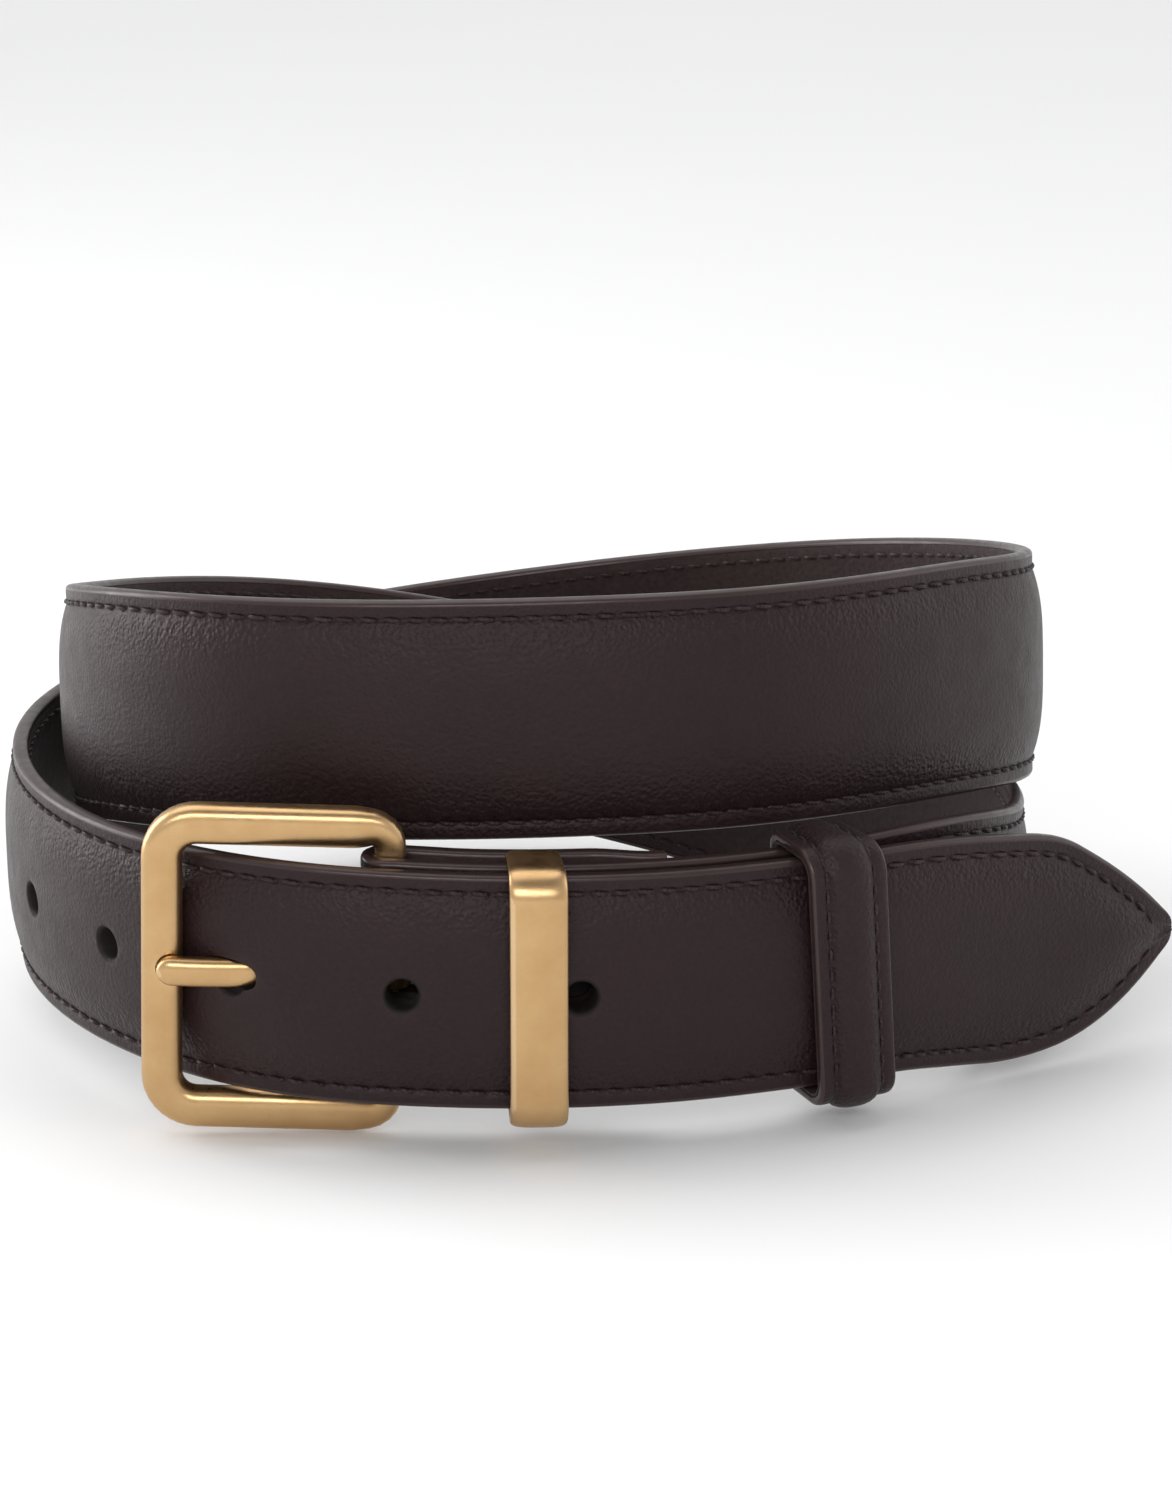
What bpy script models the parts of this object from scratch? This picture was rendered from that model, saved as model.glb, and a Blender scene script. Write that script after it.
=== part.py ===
"""A gentleman's padded leather belt, buckled and coiled twice, as it stands on a shelf.

Lengths are in millimetres and become metres when a mesh is made. The strap's route is given round
the coil's vertical axis: turn 0 is the front (-Y), turns grow towards the left (-X), and one full
round is 360 degrees. The strap starts at its pointed tip, runs twice round and ends folded round
the buckle's heel bar.
"""

import math

import bmesh
import bpy
import numpy as np
from mathutils import Matrix, Vector

MM = 0.001
GAP = 0.3

# Strap
STRAP_WIDTH = 35.0
FACE_THICKNESS = 1.0
LINING_THICKNESS = 1.1
EDGE_THICKNESS = FACE_THICKNESS + GAP + LINING_THICKNESS
CROWN = 1.7
FLANGE = 3.2
LAYER = EDGE_THICKNESS + CROWN + GAP
STATION_STEP = 11.0
TIP_LENGTH = 32.0
TIP_BLUNT = 3.0
TIP_FULLNESS = 2.0

# Holes
HOLE_RADIUS = 2.5
HOLE_PITCH = 24.8
HOLE_COUNT = 5
FIRST_HOLE_FROM_TIP = 103.0

# Edge seam
SEAM_INSET = 2.6
THREAD_WIDTH = 0.6
THREAD_HEIGHT = 0.35
THREAD_LIFT = 0.1

# Front arc, on which the keepers slide: a stretch of cylinder, tipped forwards and to the right
ARC_X, ARC_Y = -7.5, 36.5
ARC_RADIUS = 114.0
ARC_HEIGHT = 6.8
ARC_TIP_FORWARDS = 0.062
ARC_TIP_RIGHT = 0.027
ARC_RIGHT, ARC_LEFT = -37.0, 9.0

# Route: turn, radius, height of the lower edge, lean of the top towards the axis (degrees)
TIP_ROUTE = ((-74.2, 100.8, 0.6, -2.0), (-62.3, 88.9, 1.9, -2.5))
COIL_ROUTE = (
    (45, 78.3, 7.4, -4.4),
    (90, 76.8, 8.6, 0.0),
    (135, 77.5, 9.8, 1.0),
    (180, 83.7, 13.3, 1.0),
    (225, 83.8, 23.7, 2.0),
    (262, 80.5, 32.9, 2.0),
    (280, 77.3, 37.0, 2.0),
    (293, 72.9, 39.4, 2.0),
    (309, 68.5, 41.0, 1.0),
    (330, 65.0, 42.0, -0.5),
    (352, 62.8, 42.2, -1.0),
    (374, 63.2, 41.5, -1.0),
    (396, 66.5, 40.2, -1.0),
    (415, 68.0, 37.6, -1.0),
    (450, 68.0, 29.2, 0.0),
    (495, 68.5, 19.4, -1.0),
    (540, 67.5, 8.6, -1.5),
    (565, 67.0, 3.4, -2.0),
    (590, 67.0, 0.6, -2.0),
    (620, 72.0, 0.1, -3.0),
    (641, 76.0, 0.6, -3.5),
    (655, 77.3, 2.9, -4.3),
)

# Buckle
HEEL_BAR_RADIUS = 1.5
HEEL_BAR_LENGTH = 39.6
HEEL_TURN = 5.66
FOLD_RADIUS = HEEL_BAR_RADIUS + GAP + EDGE_THICKNESS
HEEL_DEPTH = LAYER + EDGE_THICKNESS + GAP + HEEL_BAR_RADIUS
FRAME_REACH = 32.1
FRAME_ANGLE = 0.4
FRAME_BAR = 5.8
FRAME_DEPTH = 4.8
FRAME_HALF_HEIGHT = 21.4
FRAME_CORNER = 5.0
FRAME_DROP = 0.25
HOOK_END = 18.0
PRONG_WIDTH = 4.3
PRONG_THICKNESS = 3.0
PRONG_TIP = FRAME_REACH + 0.5
PRONG_POINT = 2.2
PRONG_EYE = 3.3
PRONG_PLAY = 3.0
NOTCH_CLEARANCE = 0.35

# Turned-back tail: distance from the heel bar, depth of its face below the tip end's face
TAIL_ROUTE = (
    (0.0, HEEL_DEPTH + FOLD_RADIUS),
    (5.0, 12.7),
    (10.0, 12.3),
    (15.0, 12.3),
    (20.0, 12.3),
    (25.0, 12.3),
    (30.0, 12.3),
    (33.5, 11.0),
    (36.5, 9.9),
    (39.0, 9.9),
)
FOLD_SEAMS = {"fold_thread_near": 8.5, "fold_thread_far": 37.5}

# Keepers
KEEPER_GAP = 0.5
KEEPER_SAG = 0.3
METAL_KEEPER_TURN = -5.4
METAL_KEEPER_WIDTH = 8.0
METAL_KEEPER_WALL = 1.6
METAL_KEEPER_SKEW = 0.027
LEATHER_KEEPER_TURN = -28.2
LEATHER_KEEPER_WIDTH = 12.0
LEATHER_KEEPER_SKEW = 0.1
KEEPER_LINING = 0.6
KEEPER_LEATHER = 1.0
KEEPER_PAD = 0.9
KEEPER_THREAD_LIFT = 0.25
BACK_SEAM_STOP = 46.0
KEEPER_BACK_DEPTH = LAYER + EDGE_THICKNESS + THREAD_LIFT + THREAD_HEIGHT + GAP

# The foot of the coil's axis, from the middle of the whole belt's box on the floor
AXIS_X, AXIS_Y, AXIS_Z = -9.59, -0.77, -0.08

BROWN = (0.034, 0.02, 0.016)
DARK_BROWN = (0.02, 0.013, 0.011)
LINING_BROWN = (0.03, 0.019, 0.016)
THREAD_BROWN = (0.05, 0.03, 0.024)
BRASS = (0.62, 0.4, 0.17)


def natural_spline(knots, values):
    """The natural cubic spline through the values, as a function."""
    x = np.array(knots, float)
    y = np.array(values, float)
    step = np.diff(x)
    slope = np.diff(y) / step
    system = np.eye(len(x))
    right = np.zeros(len(x))
    for i in range(1, len(x) - 1):
        system[i, i - 1 : i + 2] = step[i - 1], 2 * (step[i - 1] + step[i]), step[i]
        right[i] = 6 * (slope[i] - slope[i - 1])
    bend = np.linalg.solve(system, right)

    def at(where):
        i = int(np.clip(np.searchsorted(x, where) - 1, 0, len(x) - 2))
        a = (x[i + 1] - where) / step[i]
        b = (where - x[i]) / step[i]
        curve = (a**3 - a) * bend[i] + (b**3 - b) * bend[i + 1]
        return float(a * y[i] + b * y[i + 1] + curve * step[i] ** 2 / 6)

    return at


class Frame:
    """A place on the strap: the face's lower edge, the outward normal and the width direction."""

    def __init__(self, edge, normal, across):
        self.edge = edge
        self.normal = normal
        self.across = across

    def point(self, from_middle, lift):
        """The point this far above the strap's middle line and this far out of its face."""
        up = self.across * (STRAP_WIDTH / 2 + from_middle)
        return self.edge + up + self.normal * lift

    def sunk(self, depth):
        """The same place, deeper by this much."""
        return Frame(self.edge - self.normal * depth, self.normal, self.across)


AXIS_FOOT = Vector((AXIS_X, AXIS_Y, AXIS_Z))
ARC_UP = Vector((ARC_TIP_RIGHT, -ARC_TIP_FORWARDS, 1)).normalized()
ARC_LEFTWARDS = ARC_UP.cross(Vector((0, -1, 0))).normalized() * -1
ARC_FRONT = ARC_UP.cross(ARC_LEFTWARDS)
ARC_PIVOT = AXIS_FOOT + Vector((ARC_X, ARC_Y - ARC_RADIUS, ARC_HEIGHT)) - ARC_FRONT * ARC_RADIUS


def arc_frame(angle, depth=0.0):
    """The tip end's frame at an angle round the front arc's own axis, sunk by a depth."""
    turn = math.radians(angle)
    outward = ARC_FRONT * math.cos(turn) + ARC_LEFTWARDS * math.sin(turn)
    return Frame(ARC_PIVOT + outward * (ARC_RADIUS - depth), outward, ARC_UP)


def outward_at(turn):
    angle = math.radians(turn)
    return Vector((-math.sin(angle), -math.cos(angle), 0))


def arc_row(angle, depth=0.0, rounds=0):
    """A place on the front arc as a row of the route: turn, radius, height and lean."""
    frame = arc_frame(angle, depth)
    foot = frame.edge - AXIS_FOOT
    turn = math.degrees(math.atan2(-foot.x, -foot.y))
    lean = -math.degrees(math.asin(ARC_UP.dot(outward_at(turn))))
    return turn + 360.0 * rounds, math.hypot(foot.x, foot.y), foot.z, lean


def route_rows():
    """All stations of the route, from the tip to just past the heel bar."""
    rows = list(TIP_ROUTE)
    rows += [arc_row(angle) for angle in np.linspace(ARC_RIGHT, ARC_LEFT, 8)]
    rows += COIL_ROUTE
    rows += [arc_row(angle, LAYER, 2) for angle in np.linspace(ARC_RIGHT, ARC_LEFT + 3.0, 8)]
    return rows


ROUTE = route_rows()
TURNS = [row[0] for row in ROUTE]
RADIUS_AT, HEIGHT_AT, LEAN_AT = (
    natural_spline(TURNS, [row[k] for row in ROUTE]) for k in (1, 2, 3)
)


def edge_point(turn):
    return AXIS_FOOT + outward_at(turn) * RADIUS_AT(turn) + Vector((0, 0, HEIGHT_AT(turn)))


def coil_frame(turn):
    """The strap's frame at a turn of the route: its width stays square to its length."""
    tangent = (edge_point(turn + 0.2) - edge_point(turn - 0.2)).normalized()
    lean = math.radians(LEAN_AT(turn))
    upright = Vector((0, 0, math.cos(lean))) - outward_at(turn) * math.sin(lean)
    across = (upright - tangent * upright.dot(tangent)).normalized()
    return Frame(edge_point(turn), across.cross(tangent), across)


def heel_turn():
    """The turn at which the second layer reaches the heel bar."""
    return arc_row(HEEL_TURN, LAYER, 2)[0]


def lengths_and_turns():
    """How far along the middle line each quarter-degree of turn is from the tip."""
    turns = np.arange(TURNS[0], heel_turn(), 0.25)
    points = np.array([coil_frame(turn).point(0, 0) for turn in turns])
    steps = np.linalg.norm(np.diff(points, axis=0), axis=1)
    return np.concatenate([[0.0], np.cumsum(steps)]), turns


LENGTHS, LENGTH_TURNS = lengths_and_turns()
STRAP_LENGTH = float(LENGTHS[-1])


def frame_at(length):
    """The strap's frame this far from the tip."""
    return coil_frame(float(np.interp(length, LENGTHS, LENGTH_TURNS)))


def half_width(length):
    """Half the strap's width this far from its pointed tip."""
    if length >= TIP_LENGTH:
        return STRAP_WIDTH / 2
    share = 1 - length / TIP_LENGTH
    return TIP_BLUNT + (STRAP_WIDTH / 2 - TIP_BLUNT) * (1 - share**TIP_FULLNESS)


def crown_height(length):
    """How far the padding lifts the face, this far from the tip."""
    at_tip = np.clip((length - 7.0) / 24.0, 0, 1)
    at_heel = np.clip((STRAP_LENGTH - 26.0 - length) / 22.0, 0, 1)
    share = min(at_tip, at_heel)
    return float(CROWN * share * share * (3 - 2 * share))


def station_lengths():
    """Even stations along the strap, closer together over the pointed tip."""
    near_tip = [0.0, 1.5, 4.0, 8.0, 13.0, 18.0, 24.0]
    count = round((STRAP_LENGTH - TIP_LENGTH) / STATION_STEP) + 1
    return near_tip + [float(v) for v in np.linspace(TIP_LENGTH + 1, STRAP_LENGTH, count)]


STATIONS = station_lengths()


def fold_frames():
    """Frames round the heel bar and back along the tail."""
    heel = arc_frame(HEEL_TURN)
    forward = heel.normal.cross(heel.across).normalized()
    axis = heel.edge - heel.normal * HEEL_DEPTH
    frames = []
    for angle in range(30, 180, 30):
        turn = math.radians(angle)
        out = heel.normal * math.cos(turn) + forward * math.sin(turn)
        frames.append(Frame(axis + out * FOLD_RADIUS, out, heel.across))
    for distance, depth in TAIL_ROUTE:
        place = tail_place(distance, depth)
        frames.append(Frame(place.edge, -place.normal, place.across))
    return frames


def tail_place(distance, depth):
    """The place this far back from the heel bar and this deep below the tip end's face."""
    angle = HEEL_TURN - math.degrees(distance / (ARC_RADIUS - HEEL_DEPTH))
    return arc_frame(angle, depth)


def new_material(name, colour, roughness, metallic):
    material = bpy.data.materials.new(name)
    material.use_nodes = True
    shader = material.node_tree.nodes["Principled BSDF"]
    shader.inputs["Base Color"].default_value = (*colour, 1)
    shader.inputs["Roughness"].default_value = roughness
    shader.inputs["Metallic"].default_value = metallic
    return material


def add_object(name, mesh, colour=BROWN, roughness=0.5, metallic=0.0, origin=None, cutter=False):
    """Links a mesh as a named object whose origin is at a point given in millimetres."""
    part = bpy.data.objects.new(name, mesh)
    if origin is not None:
        place = Vector(origin) * MM
        mesh.transform(Matrix.Translation(-place))
        part.location = place
    mesh.shade_smooth()
    mesh.set_sharp_from_angle(angle=math.radians(40))
    if cutter:
        cutters.objects.link(part)
        part.hide_render = True
        part.display_type = "WIRE"
        return part
    mesh.materials.append(new_material(name, colour, roughness, metallic))
    parts.objects.link(part)
    return part


def loft(name, rings, closed=False):
    """A mesh through rings of points (millimetres), capped at both ends unless it closes on itself."""
    bm = bmesh.new()
    rows = [[bm.verts.new(Vector(point) * MM) for point in ring] for ring in rings]
    pairs = list(zip(rows, rows[1:]))
    if closed:
        pairs.append((rows[-1], rows[0]))
    for near, far in pairs:
        for i in range(len(near)):
            j = (i + 1) % len(near)
            bm.faces.new((near[i], near[j], far[j], far[i]))
    if not closed:
        bm.faces.new(rows[0][::-1])
        bm.faces.new(rows[-1])
    bmesh.ops.recalc_face_normals(bm, faces=bm.faces)
    mesh = bpy.data.meshes.new(name)
    bm.to_mesh(mesh)
    bm.free()
    return mesh


def sweep(name, points, normals, section, closed=False):
    """A section (side, up) carried along points, with its up held to the normals."""
    rings = []
    count = len(points)
    for i, (point, normal) in enumerate(zip(points, normals)):
        before = points[i - 1] if i or closed else point
        after = points[(i + 1) % count] if i < count - 1 or closed else point
        along = (after - before).normalized()
        side = normal.cross(along).normalized()
        shape = section(i) if callable(section) else section
        rings.append([point + side * a + normal * b for a, b in shape])
    return loft(name, rings, closed)


def face_section(half, crown):
    """The face leather's outline across the strap: flat flanges and a raised middle."""
    inner = max(half - FLANGE, 0.25 * half)
    top = [(-half, 0), (-inner, 0), (-0.6 * inner, 0.72 * crown), (0, crown)]
    top += [(-u, v) for u, v in reversed(top[:-1])]
    return top + [(u, v - FACE_THICKNESS) for u, v in reversed(top)]


def lining_section(half):
    top = -FACE_THICKNESS - GAP
    low = top - LINING_THICKNESS
    widths = (-half, -0.5 * half, 0, 0.5 * half, half)
    return [(u, top) for u in widths] + [(u, low) for u in reversed(widths)]


def padding_section():
    """The filler's outline: flat on the lining, arched under the face."""
    edge = 0.84 * (STRAP_WIDTH / 2 - FLANGE)
    base = -FACE_THICKNESS
    under = FACE_THICKNESS + GAP
    arch = [(-edge, base + 0.12), (-0.71 * edge, 0.72 * CROWN - under), (0, CROWN - under)]
    arch += [(-u, v) for u, v in reversed(arch[:-1])]
    return arch + [(u, base) for u in (edge, 0.71 * edge, 0, -0.71 * edge, -edge)]


def ring_of(frame, section):
    return [frame.point(u, v) for u, v in section]


def coil_places(start, stop):
    """(length from the tip, frame) of each station between two lengths."""
    return [(length, frame_at(length)) for length in STATIONS if start <= length <= stop]


def make_strap():
    stations = coil_places(0.0, STRAP_LENGTH)
    stations += [(STRAP_LENGTH, frame) for frame in fold_frames()]
    face = [ring_of(f, face_section(half_width(s), crown_height(s))) for s, f in stations]
    lining = [ring_of(f, lining_section(half_width(s))) for s, f in stations]
    padded = coil_places(34.0, STRAP_LENGTH - 50.0)
    padding = [ring_of(f, padding_section()) for _, f in padded]
    outer = add_object("strap_outer_leather", loft("strap_outer_leather", face), BROWN, 0.42)
    back = add_object("strap_lining_leather", loft("strap_lining_leather", lining), LINING_BROWN, 0.6)
    core = add_object("strap_padding", loft("strap_padding", padding), DARK_BROWN, 0.9)
    return outer, back, core


def seam_path(lift, stop):
    """Points and normals of the edge seam: along the lower edge, round the tip and back above."""
    def row(sign):
        places = coil_places(3.0, stop)
        return [(f.point(sign * (half_width(s) - SEAM_INSET), lift), f.normal) for s, f in places]

    nose = frame_at(2.6)
    path = row(-1)[::-1] + [(nose.point(0, lift), nose.normal)] + row(1)
    return [p for p, _ in path], [n for _, n in path]


def make_seams():
    half = THREAD_WIDTH / 2
    face_thread = ((-half, 0), (half, 0), (0, THREAD_HEIGHT))
    back_thread = ((half, 0), (-half, 0), (0, -THREAD_HEIGHT))
    seams = {
        "edge_thread_face": (THREAD_LIFT, STRAP_LENGTH - 7.0, face_thread),
        "edge_thread_back": (-EDGE_THICKNESS - THREAD_LIFT, STRAP_LENGTH - BACK_SEAM_STOP, back_thread),
    }
    for name, (lift, stop, section) in seams.items():
        points, normals = seam_path(lift, stop)
        add_object(name, sweep(name, points, normals, section), THREAD_BROWN, 0.7)
    for name, distance in FOLD_SEAMS.items():
        depth = float(np.interp(distance, *zip(*TAIL_ROUTE))) + THREAD_LIFT
        place = tail_place(distance, depth)
        reach = STRAP_WIDTH / 2 - SEAM_INSET
        points = [place.point(-reach, 0), place.point(reach, 0)]
        mesh = sweep(name, points, [-place.normal] * 2, face_thread)
        add_object(name, mesh, THREAD_BROWN, 0.7)


def rounded(width, depth, steps, power=2.4):
    """A bar's section: an ellipse with its sides a little squared, centred on its axis."""
    outline = []
    for i in range(steps):
        angle = math.tau * (i + 0.5) / steps
        c, s = math.cos(angle), math.sin(angle)
        a = math.copysign(abs(c) ** (2 / power), c) * width / 2
        b = math.copysign(abs(s) ** (2 / power), s) * depth / 2
        outline.append((a, b))
    return outline


class HeelSpace:
    """Axes at the heel bar: reach towards the frame's front bar, up along the bar, out of the face."""

    def __init__(self, swing):
        heel = arc_frame(HEEL_TURN)
        self.up = heel.across
        self.origin = heel.point(-FRAME_DROP, -HEEL_DEPTH)
        angle = math.radians(swing)
        flat = Vector((-math.cos(angle), math.sin(angle), 0))
        self.out = self.up.cross(flat).normalized()
        self.reach = self.out.cross(self.up).normalized()

    def at(self, reach, up, out=0.0):
        return self.origin + self.reach * reach + self.up * up + self.out * out


def corner(space, reach, up, start, turn, radius, steps=4):
    """Points of a rounded corner, from a start angle through a turn, round (reach, up)."""
    angles = [math.radians(start + turn * k / steps) for k in range(steps + 1)]
    return [space.at(reach + radius * math.cos(a), up + radius * math.sin(a)) for a in angles]


def make_frame(space):
    """The brass rectangle's front bar and two rails, which turn in to hold the heel bar."""
    far = FRAME_REACH - FRAME_CORNER
    high = FRAME_HALF_HEIGHT - FRAME_CORNER
    hook = 2.8
    hook_high = FRAME_HALF_HEIGHT - hook
    points = [space.at(0, HOOK_END)]
    points += corner(space, hook, hook_high, 180, -90, hook, 3)
    points += corner(space, far, high, 90, -90, FRAME_CORNER)
    points += corner(space, far, -high, 0, -90, FRAME_CORNER)
    points += corner(space, hook, -hook_high, 270, -90, hook, 3)
    points += [space.at(0, -HOOK_END)]
    count = len(points)

    def section(i):
        slim = 0.8 if i < 3 or i > count - 4 else 1.0
        return rounded(FRAME_BAR * slim, FRAME_DEPTH * slim, 12)

    mesh = sweep("buckle_frame", points, [space.out] * count, section)
    return add_object("buckle_frame", mesh, BRASS, 0.33, 1.0, space.origin)


def cylinder(name, centre, axis, radius, length, segments=16):
    """A capped cylinder, as a mesh."""
    bm = bmesh.new()
    turn = axis.to_track_quat("Z", "Y").to_matrix().to_4x4()
    place = Matrix.Translation(centre * MM) @ turn
    bmesh.ops.create_cone(
        bm, cap_ends=True, segments=segments, radius1=radius * MM, radius2=radius * MM,
        depth=length * MM, matrix=place,
    )
    mesh = bpy.data.meshes.new(name)
    bm.to_mesh(mesh)
    bm.free()
    return mesh


def prong_line(space, tip):
    """Points of the tongue's middle line, bowed slightly out of the frame's plane."""
    reaches = [1.0, 5.0, 10.0, 15.0, 20.0, 25.0]
    reaches += [PRONG_TIP - PRONG_POINT * share for share in (1.0, 0.6, 0.25)] + [tip]
    bow = natural_spline((0, 8, 20, 28, 36), (0.0, 1.3, 2.9, 3.2, 2.5))
    return [(reach, space.at(reach, FRAME_DROP, bow(reach))) for reach in reaches]


def prong_section(reach, grow=0.0, play=0.0):
    """The tongue's section: flat behind, rounded in front, narrowing at its very end."""
    share = max(0.0, 1 - (PRONG_TIP - reach) / PRONG_POINT)
    narrow = 1.0 if grow else math.sqrt(max(0.16, 1 - share * share))
    a = PRONG_WIDTH / 2 * narrow + grow
    low = -PRONG_THICKNESS / 2 - grow
    high = PRONG_THICKNESS / 2 * (0.5 + 0.5 * narrow) + grow + play
    right = [(0.8 * a, low), (a, low + 0.5), (a, high - 1.2), (0.6 * a, high)]
    return right + [(-u, v) for u, v in reversed(right)]


def prong_mesh(space, name, grow=0.0):
    line = prong_line(space, PRONG_TIP + grow)
    play = math.tan(math.radians(PRONG_PLAY)) if grow else 0.0

    def section(i):
        return prong_section(line[i][0], grow, line[i][0] * play)

    return sweep(name, [p for _, p in line], [space.out] * len(line), section)


def boolean(part, cutter, operation="DIFFERENCE"):
    modifier = part.modifiers.new(cutter.name, "BOOLEAN")
    modifier.operation = operation
    modifier.object = cutter
    modifier.solver = "EXACT"


def make_buckle(strap_pieces):
    space = HeelSpace(FRAME_ANGLE)
    frame = make_frame(space)
    bar_centre = space.at(0, 0)
    bar = cylinder("heel_bar", bar_centre, space.up, HEEL_BAR_RADIUS, HEEL_BAR_LENGTH)
    add_object("heel_bar", bar, BRASS, 0.4, 1.0, space.origin)
    socket = cylinder("heel_socket", bar_centre, space.up, HEEL_BAR_RADIUS + GAP, HEEL_BAR_LENGTH + 2 * GAP)
    boolean(frame, add_object("heel_socket", socket, cutter=True))

    seat = prong_mesh(space, "prong_seat", NOTCH_CLEARANCE)
    boolean(frame, add_object("prong_seat", seat, cutter=True))
    tunnel = prong_mesh(space, "prong_tunnel", NOTCH_CLEARANCE)
    tunnel_cutter = add_object("prong_tunnel", tunnel, cutter=True)

    prong = add_object("prong", prong_mesh(space, "prong"), BRASS, 0.33, 1.0, space.origin)
    centre = space.at(0, FRAME_DROP)
    eye = cylinder("prong_eye", centre, space.up, PRONG_EYE, PRONG_WIDTH, 20)
    boolean(prong, add_object("prong_eye", eye, cutter=True), "UNION")
    bore = cylinder("prong_bore", centre, space.up, HEEL_BAR_RADIUS + GAP, PRONG_WIDTH + 4)
    boolean(prong, add_object("prong_bore", bore, cutter=True))

    slot_height = PRONG_WIDTH + 1.2
    slot = [
        [space.at(reach, FRAME_DROP + side * slot_height / 2, out) for reach, out in
         ((-4.6, -6.0), (7.5, -6.0), (7.5, 5.6), (-4.6, 5.6))]
        for side in (-1, 1)
    ]
    slot_cutter = add_object("fold_slot", loft("fold_slot", slot), cutter=True)
    for piece in strap_pieces[:2]:
        boolean(piece, tunnel_cutter)
        boolean(piece, slot_cutter)
    boolean(strap_pieces[2], tunnel_cutter)
    return space


def punch_holes(strap_pieces):
    """The row of round holes, and one cutter for all of them."""
    bm = bmesh.new()
    for k in range(HOLE_COUNT):
        frame = frame_at(FIRST_HOLE_FROM_TIP + k * HOLE_PITCH)
        punch = cylinder("punch", frame.point(0, -0.4), frame.normal, HOLE_RADIUS, 7.0, 16)
        bm.from_mesh(punch)
        bpy.data.meshes.remove(punch)
    mesh = bpy.data.meshes.new("hole_punches")
    bm.to_mesh(mesh)
    bm.free()
    cutter = add_object("hole_punches", mesh, cutter=True)
    for piece in strap_pieces:
        boolean(piece, cutter)


def loop_outline(frame, skew, grow, corner_radius, front_grow=0.0, steps=4):
    """Points of a rounded rectangle round both layers of the strap, grown by this much."""
    high = STRAP_WIDTH / 2 + KEEPER_GAP + grow
    front = CROWN + KEEPER_GAP + grow + front_grow
    back = -KEEPER_BACK_DEPTH - grow
    radius = corner_radius + grow
    leftwards = frame.normal.cross(frame.across)
    outline = []
    for u, v, start in (
        (high - radius, front - radius, 0), (-high + radius, front - radius, 90),
        (-high + radius, back + radius, 180), (high - radius, back + radius, 270),
    ):
        for k in range(steps + 1):
            angle = math.radians(start + 90 * k / steps)
            width = u + radius * math.cos(angle) - KEEPER_SAG
            point = frame.point(width, v + radius * math.sin(angle))
            outline.append(point + leftwards * skew * width)
    return outline


def loop_mesh(name, angle, width, skew, inner, outer, shift=0.0):
    """A band round the strap: inner and outer outlines, at even stations along the front arc."""
    half = math.degrees(width / 2 / ARC_RADIUS)
    middle = angle + math.degrees(shift / ARC_RADIUS)
    ends = [arc_frame(middle + side * half) for side in (-1, 1)]
    rings = [loop_outline(ends[0], skew, *inner), loop_outline(ends[0], skew, *outer)]
    rings += [loop_outline(ends[1], skew, *outer), loop_outline(ends[1], skew, *inner)]
    return loft(name, rings, closed=True)


def make_metal_keeper():
    inner = (0.0, 1.2)
    outer = (METAL_KEEPER_WALL, 1.9, 0.5)
    place = METAL_KEEPER_TURN, METAL_KEEPER_WIDTH, METAL_KEEPER_SKEW
    mesh = loop_mesh("metal_keeper", *place, inner, outer)
    keeper = add_object("metal_keeper", mesh, BRASS, 0.28, 1.0, ARC_PIVOT)
    rounding = keeper.modifiers.new("rounded_edges", "BEVEL")
    rounding.width = 0.5 * MM
    rounding.segments = 1
    rounding.angle_limit = math.radians(50)


def make_leather_keeper():
    angle, width, skew = LEATHER_KEEPER_TURN, LEATHER_KEEPER_WIDTH, LEATHER_KEEPER_SKEW
    lining = (0.0, 1.0), (KEEPER_LINING, 1.0)
    start = KEEPER_LINING + GAP
    pad_room = KEEPER_PAD + GAP
    cover = (start, 1.0, pad_room), (start + KEEPER_LEATHER, 1.0, pad_room)
    mesh = loop_mesh("keeper_lining", angle, width, skew, *lining)
    lining_part = add_object("keeper_lining", mesh, LINING_BROWN, 0.6, origin=ARC_PIVOT)
    mesh = loop_mesh("keeper_leather", angle, width, skew, *cover)
    leather_part = add_object("keeper_leather", mesh, BROWN, 0.42, origin=ARC_PIVOT)

    frame = arc_frame(angle)
    leftwards = frame.normal.cross(frame.across)
    base = CROWN + KEEPER_GAP + start
    rows = []
    for u in (-14.0, 14.0):
        outline = ((-3.2, 0), (3.2, 0), (2.2, KEEPER_PAD), (-2.2, KEEPER_PAD))
        rows.append([frame.point(u, base + v) + leftwards * (a + skew * u) for a, v in outline])
    add_object("keeper_padding", loft("keeper_padding", rows), DARK_BROWN, 0.9, origin=ARC_PIVOT)

    thread = start + KEEPER_LEATHER + KEEPER_THREAD_LIFT
    band = (thread, 1.0, pad_room), (thread + THREAD_HEIGHT, 1.0, pad_room)
    for name, shift in (("keeper_thread_left", 3.6), ("keeper_thread_right", -3.6)):
        mesh = loop_mesh(name, angle, THREAD_WIDTH, skew, *band, shift=shift)
        add_object(name, mesh, THREAD_BROWN, 0.7, origin=ARC_PIVOT)
    make_staple(frame, start, (lining_part, leather_part))


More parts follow.
